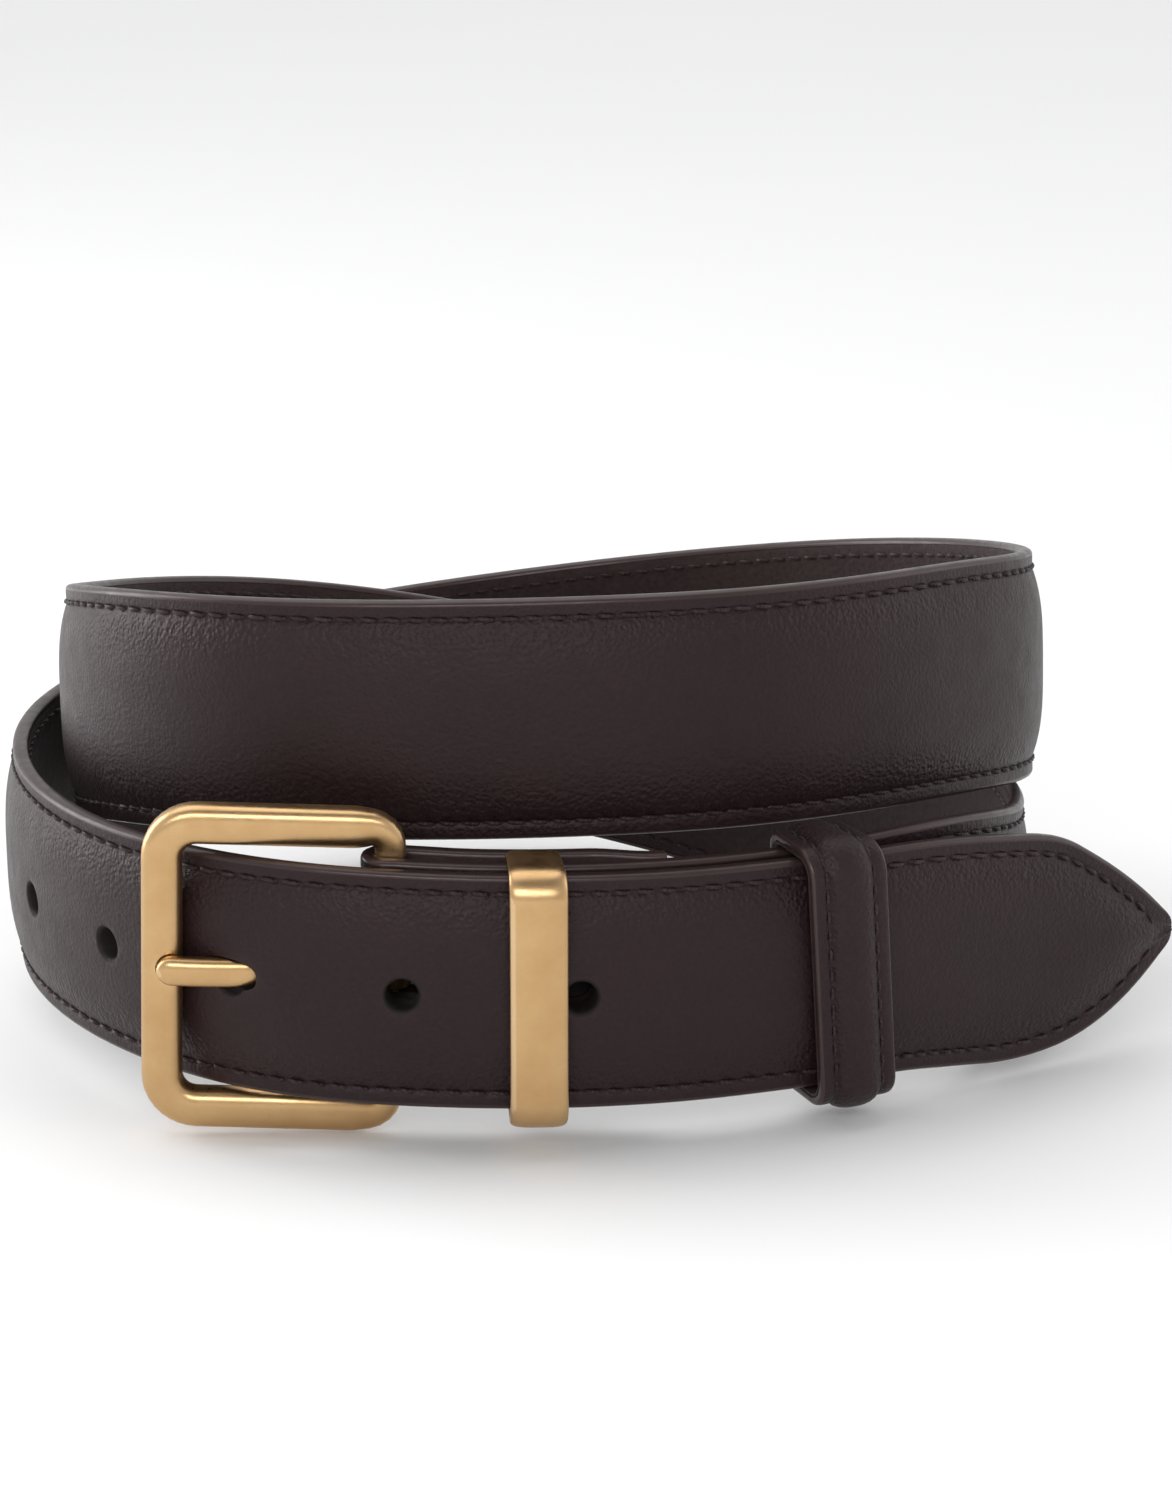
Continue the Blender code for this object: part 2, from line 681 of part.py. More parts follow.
def make_staple(frame, start, leathers):
    """The wire staple through the loop's lapped ends, at the middle of its back run."""
    back = -KEEPER_BACK_DEPTH
    outside = back - start - KEEPER_LEATHER - 0.45
    inside = back - 0.15
    places = ((-3.0, inside), (-3.0, outside), (3.0, outside), (3.0, inside))
    points = [frame.point(u, v) for u, v in places]
    normals = [frame.normal.cross(frame.across)] * len(points)
    wire = sweep("keeper_staple", points, normals, rounded(0.5, 0.5, 6, 2))
    add_object("keeper_staple", wire, BRASS, 0.4, 1.0, origin=ARC_PIVOT)
    past = (points[0] - points[1]) * 0.3
    reach = [points[0] + past, points[1], points[2], points[3] + past]
    hole = sweep("staple_holes", reach, normals, rounded(1.1, 1.1, 6, 2))
    cutter = add_object("staple_holes", hole, cutter=True)
    for leather in leathers:
        boolean(leather, cutter)


def clear_scene():
    for old in list(bpy.data.objects):
        bpy.data.objects.remove(old)


clear_scene()
parts = bpy.data.collections.new("leather_belt")
cutters = bpy.data.collections.new("cutters")
bpy.context.scene.collection.children.link(parts)
bpy.context.scene.collection.children.link(cutters)

strap = make_strap()
make_seams()
punch_holes(strap)
make_buckle(strap)
make_metal_keeper()
make_leather_keeper()
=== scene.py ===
"""Looks of a gentleman's padded leather belt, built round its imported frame.

Lengths are in millimetres until a mesh is made. The strap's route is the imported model's own: turns
in degrees round the coil's vertical axis, 0 at the front and growing towards the left.
"""

import math

import bmesh
import bpy
import numpy as np
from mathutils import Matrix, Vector


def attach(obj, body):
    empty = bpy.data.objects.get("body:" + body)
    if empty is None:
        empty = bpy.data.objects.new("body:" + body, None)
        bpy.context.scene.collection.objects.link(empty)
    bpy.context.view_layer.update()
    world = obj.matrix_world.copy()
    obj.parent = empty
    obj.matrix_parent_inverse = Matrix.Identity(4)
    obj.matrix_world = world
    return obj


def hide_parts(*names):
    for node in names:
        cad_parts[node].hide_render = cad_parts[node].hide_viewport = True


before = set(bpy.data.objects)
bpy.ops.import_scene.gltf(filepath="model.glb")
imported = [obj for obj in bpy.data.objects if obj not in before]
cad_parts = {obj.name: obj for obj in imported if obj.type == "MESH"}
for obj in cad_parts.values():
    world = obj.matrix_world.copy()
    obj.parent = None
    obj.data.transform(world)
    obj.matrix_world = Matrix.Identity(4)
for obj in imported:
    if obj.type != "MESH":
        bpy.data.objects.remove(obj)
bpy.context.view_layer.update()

MM = 0.001

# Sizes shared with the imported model
STRAP_WIDTH = 35.0
HALF = STRAP_WIDTH / 2
GAP = 0.3
THICKNESS = 2.4
CROWN = 1.7
LAYER = THICKNESS + CROWN + GAP
TIP_LENGTH = 32.0
TIP_BLUNT = 3.0
TIP_FULLNESS = 2.0
TIP_DROOP, DROOP_CENTRE, DROOP_REACH = 1.35, 42.0, 15.0
HOLE_PITCH = 24.8
HOLE_COUNT = 5
FIRST_HOLE_FROM_TIP = 103.0
AXIS_FOOT = Vector((-9.59, -0.77, -0.08))
ARC_X, ARC_Y = -7.5, 36.5
ARC_RADIUS = 114.0
ARC_HEIGHT = 6.8
ARC_RIGHT, ARC_LEFT = -37.0, 9.0
ARC_UP = Vector((0.027, -0.062, 1)).normalized()
ARC_LEFTWARDS = ARC_UP.cross(Vector((0, -1, 0))).normalized() * -1
ARC_FRONT = ARC_UP.cross(ARC_LEFTWARDS)
ARC_PIVOT = AXIS_FOOT + Vector((ARC_X, ARC_Y - ARC_RADIUS, ARC_HEIGHT)) - ARC_FRONT * ARC_RADIUS
HEEL_BAR_RADIUS = 1.5
HEEL_TURN = 5.66
FOLD_RADIUS = HEEL_BAR_RADIUS + GAP + THICKNESS
HEEL_DEPTH = LAYER + THICKNESS + GAP + HEEL_BAR_RADIUS
TAIL_ROUTE = (
    (0.0, HEEL_DEPTH + FOLD_RADIUS), (5.0, 12.7), (10.0, 12.3), (30.0, 12.3), (33.5, 11.0),
    (36.5, 9.9), (39.0, 9.9),
)
TIP_ROUTE = ((-74.2, 100.8, 0.6, -2.0), (-62.3, 88.9, 1.9, -2.5))
COIL_ROUTE = (
    (45, 78.3, 7.4, -4.4), (90, 76.8, 8.6, 0.0), (135, 77.5, 9.8, 1.0), (180, 83.7, 13.3, 1.0),
    (225, 83.8, 23.7, 2.0), (262, 80.5, 32.9, 2.0), (280, 77.3, 37.0, 2.0),
    (293, 72.9, 39.4, 2.0), (309, 68.5, 41.0, 1.0), (330, 65.0, 42.0, -0.5),
    (352, 62.8, 42.2, -1.0), (374, 63.2, 41.5, -1.0), (396, 66.5, 40.2, -1.0),
    (415, 68.0, 37.6, -1.0), (450, 68.0, 29.2, 0.0), (495, 68.5, 19.4, -1.0),
    (540, 67.5, 8.6, -1.5), (565, 67.0, 3.4, -2.0), (590, 67.0, 0.6, -2.0),
    (620, 72.0, 0.1, -3.0), (641, 76.0, 0.6, -3.5), (655, 77.3, 2.9, -4.3),
)
FRAME_REACH = 32.1
FRAME_ANGLE = 0.4
FRAME_BAR = 5.8
FRAME_DEPTH = 4.8
FRAME_HALF_HEIGHT = 21.4
FRAME_CORNER = 5.0
FRAME_DROP = 0.25
HOOK_RADIUS = 2.8
HOOK_END = 18.0
PRONG_WIDTH = 4.3
PRONG_THICKNESS = 3.0
PRONG_TIP = FRAME_REACH + 0.5
PRONG_EYE = 3.3
PRONG_PLAY = math.tan(math.radians(4.2))
KEEPER_GAP = 0.5
KEEPER_SAG = 0.3
KEEPER_BACK_DEPTH = LAYER + THICKNESS + 0.1 + 0.35 + GAP
METAL_KEEPER_TURN, METAL_KEEPER_WIDTH, METAL_KEEPER_SKEW = -5.4, 8.0, 0.027
LEATHER_KEEPER_TURN, LEATHER_KEEPER_WIDTH, LEATHER_KEEPER_SKEW = -28.2, 12.0, 0.1

# Detail
PITCH = 3.3
SEAM_INSET = 2.6
FLANGE = 2.9
BACK_SEAM_STOP = 46.0
FACE_SEAM_STOP = 7.0
CROWN_STOP, CROWN_FADE = 26.0, 22.0
TIP_SEAM_START = 36.3
STITCH_GAP = 0.16 * PITCH
FOLD_ROWS = (
    ("fold_thread_near", "fold_stitches_near", 8.5), ("fold_thread_far", "fold_stitches_far", 37.5),
)
LOOP_STEP = 0.7
BEND_STEPS = 12
KEEPER_PITCH = 2.9
KEEPER_STITCH_GAP = 0.25
KEEPER_ROWS = (
    ("keeper_stitches_left", "keeper_thread_left", 3.72),
    ("keeper_stitches_right", "keeper_thread_right", -3.72),
)
PRONG_ROUND = 2.15
NOTCH_CLEARANCE = 0.22
TUNNEL_CLEARANCE = 0.18
EYE_CLEARANCE = 0.2
# A hole's wall and pressed rim: radius, height against the crown
HOLE_RIM = (
    (2.3, -0.75), (2.36, -0.45), (2.5, -0.2), (2.75, -0.04), (3.05, 0.06), (3.05, 1.6),
)
HOLE_DEPTH = -5.0
# A stitch from end to end: its thickness, and the share of its length
STITCH_SIZES = (0.55, 0.85, 1.0, 1.0, 1.0, 0.85, 0.55)
STITCH_SHARES = (0.0, 0.1, 0.3, 0.5, 0.7, 0.9, 1.0)
STITCH_SIDES = 7


# ---------------------------------------------------------------- route

def natural_spline(knots, values):
    """The natural cubic spline through the values, as a function."""
    x = np.array(knots, float)
    y = np.array(values, float)
    step = np.diff(x)
    slope = np.diff(y) / step
    system = np.eye(len(x))
    right = np.zeros(len(x))
    for i in range(1, len(x) - 1):
        system[i, i - 1 : i + 2] = step[i - 1], 2 * (step[i - 1] + step[i]), step[i]
        right[i] = 6 * (slope[i] - slope[i - 1])
    bend = np.linalg.solve(system, right)

    def at(where):
        i = int(np.clip(np.searchsorted(x, where) - 1, 0, len(x) - 2))
        a = (x[i + 1] - where) / step[i]
        b = (where - x[i]) / step[i]
        curve = (a**3 - a) * bend[i] + (b**3 - b) * bend[i + 1]
        return float(a * y[i] + b * y[i + 1] + curve * step[i] ** 2 / 6)

    return at


class Place:
    """A place on the strap: the face's lower edge, the outward normal and the width direction."""

    def __init__(self, edge, normal, across):
        self.edge = edge
        self.normal = normal
        self.across = across
        self.along = normal.cross(across)

    def point(self, from_middle, lift, forward=0.0):
        up = self.across * (HALF + from_middle)
        return self.edge + up + self.normal * lift + self.along * forward


def arc_place(angle, depth=0.0):
    turn = math.radians(angle)
    outward = ARC_FRONT * math.cos(turn) + ARC_LEFTWARDS * math.sin(turn)
    return Place(ARC_PIVOT + outward * (ARC_RADIUS - depth), outward, ARC_UP)


def outward_at(turn):
    angle = math.radians(turn)
    return Vector((-math.sin(angle), -math.cos(angle), 0))


def arc_row(angle, depth=0.0, rounds=0):
    place = arc_place(angle, depth)
    foot = place.edge - AXIS_FOOT
    turn = math.degrees(math.atan2(-foot.x, -foot.y))
    lean = -math.degrees(math.asin(ARC_UP.dot(outward_at(turn))))
    return turn + 360.0 * rounds, math.hypot(foot.x, foot.y), foot.z, lean


ROUTE = list(TIP_ROUTE)
ROUTE += [arc_row(angle) for angle in np.linspace(ARC_RIGHT, ARC_LEFT, 8)]
ROUTE += COIL_ROUTE
ROUTE += [arc_row(angle, LAYER, 2) for angle in np.linspace(ARC_RIGHT, ARC_LEFT + 3.0, 8)]
TURNS = [row[0] for row in ROUTE]
RADIUS_AT, HEIGHT_AT, LEAN_AT = (
    natural_spline(TURNS, [row[k] for row in ROUTE]) for k in (1, 2, 3)
)


def edge_point(turn):
    return AXIS_FOOT + outward_at(turn) * RADIUS_AT(turn) + Vector((0, 0, HEIGHT_AT(turn)))


def coil_place(turn):
    tangent = (edge_point(turn + 0.2) - edge_point(turn - 0.2)).normalized()
    lean = math.radians(LEAN_AT(turn))
    upright = Vector((0, 0, math.cos(lean))) - outward_at(turn) * math.sin(lean)
    across = (upright - tangent * upright.dot(tangent)).normalized()
    return Place(edge_point(turn), across.cross(tangent), across)


LENGTH_TURNS = np.arange(TURNS[0], arc_row(HEEL_TURN, LAYER, 2)[0], 0.25)
MIDDLE = np.array([coil_place(turn).point(0, 0) for turn in LENGTH_TURNS])
LENGTHS = np.concatenate([[0.0], np.cumsum(np.linalg.norm(np.diff(MIDDLE, axis=0), axis=1))])
STRAP_LENGTH = float(LENGTHS[-1])


def tail_place(distance, depth):
    angle = HEEL_TURN - math.degrees(distance / (ARC_RADIUS - HEEL_DEPTH))
    return arc_place(angle, depth)


FOLD_ARC = math.pi * FOLD_RADIUS
TAIL_END = TAIL_ROUTE[-1][0]
WHOLE_LENGTH = STRAP_LENGTH + FOLD_ARC + TAIL_END


def tail_depth(distance):
    """The turned-back tail's depth, eased over a few millimetres where it closes up."""
    near = [min(max(distance + shift, 0.0), TAIL_END) for shift in (-2, -1, 0, 1, 2)]
    return float(np.mean(np.interp(near, *zip(*TAIL_ROUTE))))


def place_at(length):
    """The strap's place this far from the tip, round the fold and along the tail."""
    if length <= STRAP_LENGTH:
        place = coil_place(float(np.interp(length, LENGTHS, LENGTH_TURNS)))
        droop = TIP_DROOP * math.exp(-(((length - DROOP_CENTRE) / DROOP_REACH) ** 2))
        return Place(place.edge - place.across * droop, place.normal, place.across)
    past = length - STRAP_LENGTH
    if past < FOLD_ARC:
        heel = arc_place(HEEL_TURN)
        turn = past / FOLD_RADIUS
        out = heel.normal * math.cos(turn) - heel.along * -math.sin(turn)
        axis = heel.edge - heel.normal * HEEL_DEPTH
        return Place(axis + out * FOLD_RADIUS, out, heel.across)
    distance = past - FOLD_ARC
    place = tail_place(distance, tail_depth(distance))
    return Place(place.edge, -place.normal, place.across)


def half_width(length):
    if length >= TIP_LENGTH:
        return HALF
    share = 1 - max(length, 0.0) / TIP_LENGTH
    return TIP_BLUNT + (HALF - TIP_BLUNT) * (1 - share**TIP_FULLNESS)


# ---------------------------------------------------------------- meshes

def link(name, mesh, materials, body, smooth=50):
    """Links a mesh as a named piece that rides on a body."""
    piece = bpy.data.objects.new(name, mesh)
    bpy.context.scene.collection.objects.link(piece)
    for material in materials:
        mesh.materials.append(material)
    mesh.shade_smooth()
    if smooth:
        mesh.set_sharp_from_angle(angle=math.radians(smooth))
    if body:
        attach(piece, body)
    return piece


def grid_mesh(name, rings, looped=False, slots=None):
    """A closed mesh through rings of points in millimetres. slots gives a material per column."""
    rings = np.asarray(rings, float)
    rows, columns = rings.shape[:2]
    index = np.arange(rows * columns).reshape(rows, columns)
    last = rows if looped else rows - 1
    near = index[:last]
    far = np.roll(index, -1, axis=0)[:last]
    quads = np.stack([near, np.roll(near, -1, 1), np.roll(far, -1, 1), far], -1).reshape(-1, 4)
    faces = quads.tolist()
    if not looped:
        faces += [index[0][::-1].tolist(), index[-1].tolist()]
    mesh = bpy.data.meshes.new(name)
    mesh.from_pydata((rings.reshape(-1, 3) * MM).tolist(), [], faces)
    if slots is not None:
        chosen = np.zeros(len(faces), np.int32)
        chosen[: len(quads)] = np.tile(slots, last)
        if not looped:
            chosen[len(quads):] = slots[-1]
        mesh.polygons.foreach_set("material_index", chosen)
    fix_normals(mesh)
    return mesh


def fix_normals(mesh):
    bm = bmesh.new()
    bm.from_mesh(mesh)
    bmesh.ops.recalc_face_normals(bm, faces=bm.faces)
    if bm.calc_volume(signed=True) < 0:
        bmesh.ops.reverse_faces(bm, faces=bm.faces)
    bm.to_mesh(mesh)
    bm.free()


def attribute(mesh, name, values):
    """A number at each point, which a material can read."""
    data = mesh.attributes.new(name, "FLOAT", "POINT")
    data.data.foreach_set("value", np.asarray(values, np.float32).ravel())


def sweep_rings(points, ups, section):
    """Rings of a section (side, up) carried along points; section may depend on the index."""
    rings = []
    for i, (point, up) in enumerate(zip(points, ups)):
        before = points[max(i - 1, 0)]
        after = points[min(i + 1, len(points) - 1)]
        along = (after - before).normalized()
        side = up.cross(along).normalized()
        shape = section(i) if callable(section) else section
        rings.append([point + side * a + up * b for a, b in shape])
    return rings


def superellipse(width, depth, steps, power):
    outline = []
    for i in range(steps):
        angle = math.tau * (i + 0.5) / steps
        c, s = math.cos(angle), math.sin(angle)
        a = math.copysign(abs(c) ** (2 / power), c) * width / 2
        b = math.copysign(abs(s) ** (2 / power), s) * depth / 2
        outline.append((a, b))
    return outline


def joined(name, meshes):
    """Several meshes as one."""
    bm = bmesh.new()
    for mesh in meshes:
        bm.from_mesh(mesh)
        bpy.data.meshes.remove(mesh)
    mesh = bpy.data.meshes.new(name)
    bm.to_mesh(mesh)
    bm.free()
    return mesh


def boolean(piece, mesh, operation="DIFFERENCE", material=None):
    """Cuts or joins a mesh, and keeps the result."""
    fix_normals(mesh)
    cutter = bpy.data.objects.new("cutter", mesh)
    if material:
        mesh.materials.append(material)
    bpy.context.scene.collection.objects.link(cutter)
    modifier = piece.modifiers.new("cut", "BOOLEAN")
    modifier.operation = operation
    modifier.solver = "EXACT"
    modifier.material_mode = "TRANSFER" if material else "INDEX"
    modifier.object = cutter
    bpy.context.view_layer.update()
    graph = bpy.context.evaluated_depsgraph_get()
    result = bpy.data.meshes.new_from_object(piece.evaluated_get(graph), depsgraph=graph)
    piece.modifiers.remove(modifier)
    old = piece.data
    piece.data = result
    result.name = old.name
    bpy.data.meshes.remove(old)
    bpy.data.objects.remove(cutter)
    bpy.data.meshes.remove(mesh)


def lathe(centre, axis, profile, segments=40):
    """A closed turned shape: profile is (radius, height) along an axis from its centre."""
    turn = axis.to_track_quat("Z", "Y").to_matrix()
    rings = []
    for radius, height in profile:
        ring = []
        for i in range(segments):
            angle = math.tau * i / segments
            local = Vector((radius * math.cos(angle), radius * math.sin(angle), height))
            ring.append(centre + turn @ local)
        rings.append(ring)
    return grid_mesh("turned", rings)


# ---------------------------------------------------------------- materials

# Tint of the leathers' reflections
WARM = (1.0, 0.87, 0.89, 1.0)


class Nodes:
    """Short ways to add nodes to one material."""

    def __init__(self, name):
        self.material = bpy.data.materials.new(name)
        self.material.use_nodes = True
        self.tree = self.material.node_tree
        self.shader = self.tree.nodes["Principled BSDF"]
        self.place = self.add("ShaderNodeTexCoord").outputs["Object"]

    def add(self, kind, **settings):
        node = self.tree.nodes.new(kind)
        for key, value in settings.items():
            setattr(node, key, value)
        return node

    def put(self, socket, value):
        if isinstance(value, bpy.types.NodeSocket):
            self.tree.links.new(value, socket)
        else:
            socket.default_value = value

    def maths(self, operation, a, b=0.0, clamp=False):
        node = self.add("ShaderNodeMath", operation=operation, use_clamp=clamp)
        self.put(node.inputs[0], a)
        self.put(node.inputs[1], b)
        return node.outputs[0]

    def noise(self, scale, detail=3.0, roughness=0.55, where=None):
        node = self.add("ShaderNodeTexNoise")
        self.put(node.inputs["Vector"], where or self.place)
        node.inputs["Scale"].default_value = scale
        node.inputs["Detail"].default_value = detail
        node.inputs["Roughness"].default_value = roughness
        return node.outputs["Fac"]

    def cells(self, scale, where=None, feature="SMOOTH_F1"):
        node = self.add("ShaderNodeTexVoronoi", feature=feature)
        self.put(node.inputs["Vector"], where or self.place)
        node.inputs["Scale"].default_value = scale
        return node.outputs["Distance"]

    def stretched(self, scale):
        node = self.add("ShaderNodeMapping")
        self.put(node.inputs["Vector"], self.place)
        node.inputs["Scale"].default_value = scale
        return node.outputs["Vector"]

    def attribute(self, name):
        return self.add("ShaderNodeAttribute", attribute_name=name).outputs["Fac"]

    def along(self, scale_along, scale_across):
        """Coordinates along and across the strap, stretched."""
        node = self.add("ShaderNodeCombineXYZ")
        self.put(node.inputs[0], self.maths("MULTIPLY", self.attribute("along"), scale_along))
        self.put(node.inputs[1], self.maths("MULTIPLY", self.attribute("across"), scale_across))
        return node.outputs[0]

    def span(self, value, low, high, to_low=0.0, to_high=1.0):
        node = self.add("ShaderNodeMapRange")
        self.put(node.inputs["Value"], value)
        for key, number in zip(("From Min", "From Max", "To Min", "To Max"), (low, high, to_low, to_high)):
            node.inputs[key].default_value = number
        return node.outputs["Result"]

    def mix(self, share, low, high):
        node = self.add("ShaderNodeMix", data_type="RGBA")
        self.put(node.inputs[0], share)
        for socket, value in ((node.inputs[6], low), (node.inputs[7], high)):
            self.put(socket, value if isinstance(value, bpy.types.NodeSocket) else (*value, 1))
        return node.outputs[2]

    def bump(self, height, distance, strength=1.0, under=None):
        node = self.add("ShaderNodeBump")
        node.inputs["Strength"].default_value = strength
        node.inputs["Distance"].default_value = distance
        self.put(node.inputs["Height"], height)
        if under:
            self.put(node.inputs["Normal"], under)
        return node.outputs["Normal"]

    def wear(self, spread=0.12):
        """How sharply the surface bends outwards, from 0 to 1."""
        pointiness = self.add("ShaderNodeNewGeometry").outputs["Pointiness"]
        return self.span(pointiness, 0.5, 0.5 + spread)

    def finish(self, colour, roughness, normal, **uniform):
        self.put(self.shader.inputs["Base Color"], colour)
        self.put(self.shader.inputs["Roughness"], roughness)
        self.put(self.shader.inputs["Normal"], normal)
        for key, value in uniform.items():
            self.shader.inputs[key.replace("_", " ")].default_value = value
        return self.material


def face_leather(name, strap=True):
    """Smooth pressed calf: fine pebble, stronger and creased at the padding's shoulders."""
    n = Nodes(name)
    pebble = n.cells(1650.0)
    fine = n.noise(3800.0, 4.0)
    broad = n.noise(45.0, 3.0)
    shoulder = n.attribute("shoulder")
    share = n.span(shoulder, 0.0, 1.0, 0.35, 1.0)
    if strap:
        crease = n.cells(1.0, n.along(1.5, 0.42))
        crease_share = n.maths("MULTIPLY", shoulder, n.span(n.noise(120.0, 2.0), 0.35, 0.6))
    else:
        crease = n.cells(1100.0)
        crease_share = 0.3
    height = n.maths("MULTIPLY", pebble, share)
    height = n.maths("ADD", height, n.maths("MULTIPLY", fine, 0.35))
    grain = n.bump(height, 0.00028, 0.85)
    folds = n.bump(n.maths("MULTIPLY", crease, crease_share), 0.00016, 0.4, grain)
    tint = n.mix(n.span(broad, 0.3, 0.7), (0.009, 0.0034, 0.004), (0.013, 0.0053, 0.006))
    dusty = n.mix(n.span(pebble, 0.1, 0.75, 0.0, 0.5), tint, (0.02, 0.01, 0.0105))
    worn = n.mix(n.maths("MULTIPLY", n.wear(0.08), 0.35), dusty, (0.05, 0.032, 0.028))
    patches = n.maths("ADD", n.noise(260.0, 3.0), n.maths("MULTIPLY", pebble, 0.3))
    rough = n.span(patches, 0.3, 0.95, 0.36, 0.52)
    return n.finish(
        worn, rough, folds, Specular_IOR_Level=0.26, Specular_Tint=WARM, Sheen_Weight=0.02,
        Sheen_Roughness=0.4,
    )


def lining_leather():
    """Matt pebbled lining with a nap."""
    n = Nodes("lining_leather")
    pebble = n.cells(1250.0)
    fibre = n.noise(5200.0, 4.0, 0.65)
    height = n.maths("ADD", n.maths("MULTIPLY", pebble, 0.9), n.maths("MULTIPLY", fibre, 0.5))
    tint = n.mix(n.span(n.noise(60.0), 0.3, 0.7), (0.016, 0.008, 0.0085), (0.026, 0.0135, 0.0142))
    colour = n.mix(n.span(pebble, 0.1, 0.7, 0.0, 0.6), tint, (0.036, 0.024, 0.021))
    rough = n.span(n.noise(400.0), 0.3, 0.7, 0.55, 0.7)
    normal = n.bump(height, 0.00016, 0.6)
    return n.finish(colour, rough, normal, Specular_IOR_Level=0.24, Specular_Tint=WARM, Sheen_Weight=0.04)


def edge_paint():
    """Burnished edge paint, with the slight lengthwise drag of the brush."""
    n = Nodes("edge_paint")
    drag = n.noise(1.0, 3.0, 0.5, n.stretched((350.0, 350.0, 2600.0)))
    colour = n.mix(n.span(n.noise(90.0), 0.3, 0.7), (0.014, 0.007, 0.0075), (0.024, 0.0125, 0.013))
    colour = n.mix(n.maths("MULTIPLY", n.wear(0.06), 0.5), colour, (0.055, 0.036, 0.03))
    rough = n.span(drag, 0.3, 0.7, 0.27, 0.42)
    normal = n.bump(drag, 0.00006, 0.35)
    return n.finish(
        colour, rough, normal, Specular_IOR_Level=0.38, Specular_Tint=WARM, Coat_Weight=0.06,
        Coat_Roughness=0.25,
    )


def thread_material():
    """Waxed thread with its twist."""
    n = Nodes("waxed_thread")
    wave = n.add("ShaderNodeTexWave", bands_direction="DIAGONAL")
    n.put(wave.inputs["Vector"], n.place)
    wave.inputs["Scale"].default_value = 900.0
    wave.inputs["Distortion"].default_value = 1.5
    twist = wave.outputs["Fac"]
    colour = n.mix(n.span(n.noise(700.0), 0.3, 0.7), (0.008, 0.0038, 0.004), (0.034, 0.018, 0.019))
    rough = n.span(twist, 0.0, 1.0, 0.42, 0.6)
    normal = n.bump(twist, 0.00008, 0.7)
    return n.finish(colour, rough, normal, Specular_IOR_Level=0.28, Specular_Tint=WARM, Sheen_Weight=0.04)


def raw_edge():
    """The cut wall of a punched hole: dyed, fibrous and matt."""
    n = Nodes("raw_leather_edge")
    layers = n.noise(1800.0, 3.0)
    colour = n.mix(layers, (0.006, 0.004, 0.0038), (0.016, 0.0105, 0.01))
    rough = n.span(layers, 0.3, 0.7, 0.6, 0.8)
    return n.finish(colour, rough, n.bump(layers, 0.0001, 0.6), Specular_IOR_Level=0.25)


def brass(name, tone=1.0):
    """Satin antique brass: fine brushing, darker tone in cloudy patches, lighter along worn corners."""
    n = Nodes(name)
    brushed = n.noise(1.0, 4.0, 0.6, n.stretched((900.0, 900.0, 5200.0)))
    cloud = n.noise(150.0, 4.0)
    base = tuple(tone * c for c in (0.56, 0.362, 0.17))
    deep = tuple(tone * c for c in (0.42, 0.22, 0.085))
    bright = tuple(min(1.0, tone * c) for c in (0.74, 0.53, 0.31))
    colour = n.mix(n.span(cloud, 0.35, 0.7, 0.0, 0.45), base, deep)
    colour = n.mix(n.maths("MULTIPLY", n.wear(0.08), 0.7), colour, bright)
    rough = n.span(n.maths("ADD", brushed, n.maths("MULTIPLY", cloud, 0.4)), 0.4, 1.0, 0.25, 0.4)
    return n.finish(colour, rough, n.bump(brushed, 0.00002, 0.22), Metallic=1.0, Anisotropic=0.25)


FACE = face_leather("face_leather")
KEEPER_FACE = face_leather("keeper_face_leather", strap=False)
LINING = lining_leather()
EDGE = edge_paint()
THREAD = thread_material()
RAW = raw_edge()
BRASS = brass("satin_brass")
BAR_BRASS = brass("bar_brass", 0.8)


# ---------------------------------------------------------------- strap

CENTRE_SHARES = (0.0, 0.13, 0.26, 0.39, 0.51, 0.62, 0.72, 0.81, 0.88, 0.94, 1.0)
CENTRE_STOP = 3.8
RIM_OFFSETS = (3.45, 3.15, 2.92, 2.74, 2.6, 2.46, 2.28, 2.0, 1.5, 1.0, 0.75)
EDGE_ROUND = (
    (0.5, -0.05), (0.27, -0.2), (0.1, -0.48), (0.02, -0.85), (0.0, -1.2), (0.02, -1.55),
    (0.1, -1.92), (0.27, -2.2), (0.5, -2.35), (0.8, -2.4),
)
LINING_INSET = 0.84
STEP = PITCH / 3
# The nose beyond the tip's end: width, thickness, reach
NOSE = (
    (0.12, 0.55, 1.33), (0.35, 0.8, 1.2), (0.54, 0.92, 1.0), (0.73, 1.0, 0.7), (0.9, 1.0, 0.3),
)


def outline_lean(length):
    """How square the outline runs to the strap's width: 1 along it, less over the pointed tip."""
    if length >= TIP_LENGTH:
        return 1.0
    return 1 / math.hypot(1, (half_width(length + 0.5) - half_width(length)) / 0.5)


def crown_fade(length):
    """The padding stops before the fold."""
    share = float(np.clip((STRAP_LENGTH - CROWN_STOP - length) / CROWN_FADE, 0, 1))
    return share * share * (3 - 2 * share)


def face_lift(inset, half, length, at_stitch):
    """Height of the face this far in from the outline."""
    room = max(half - FLANGE, 1.0) if length > TIP_LENGTH else HALF - FLANGE
    rise = float(np.clip((inset - FLANGE) / room, 0, 1))
    crown = CROWN * (1 - (1 - rise) ** 3.3) * crown_fade(length)
    distance = (inset - SEAM_INSET) / 0.33
    share = float(np.clip((length - 2.2) / 2.0, 0, 1))
    groove = share * (0.32 if at_stitch else 0.17) * math.exp(-distance * distance)
    return crown - groove


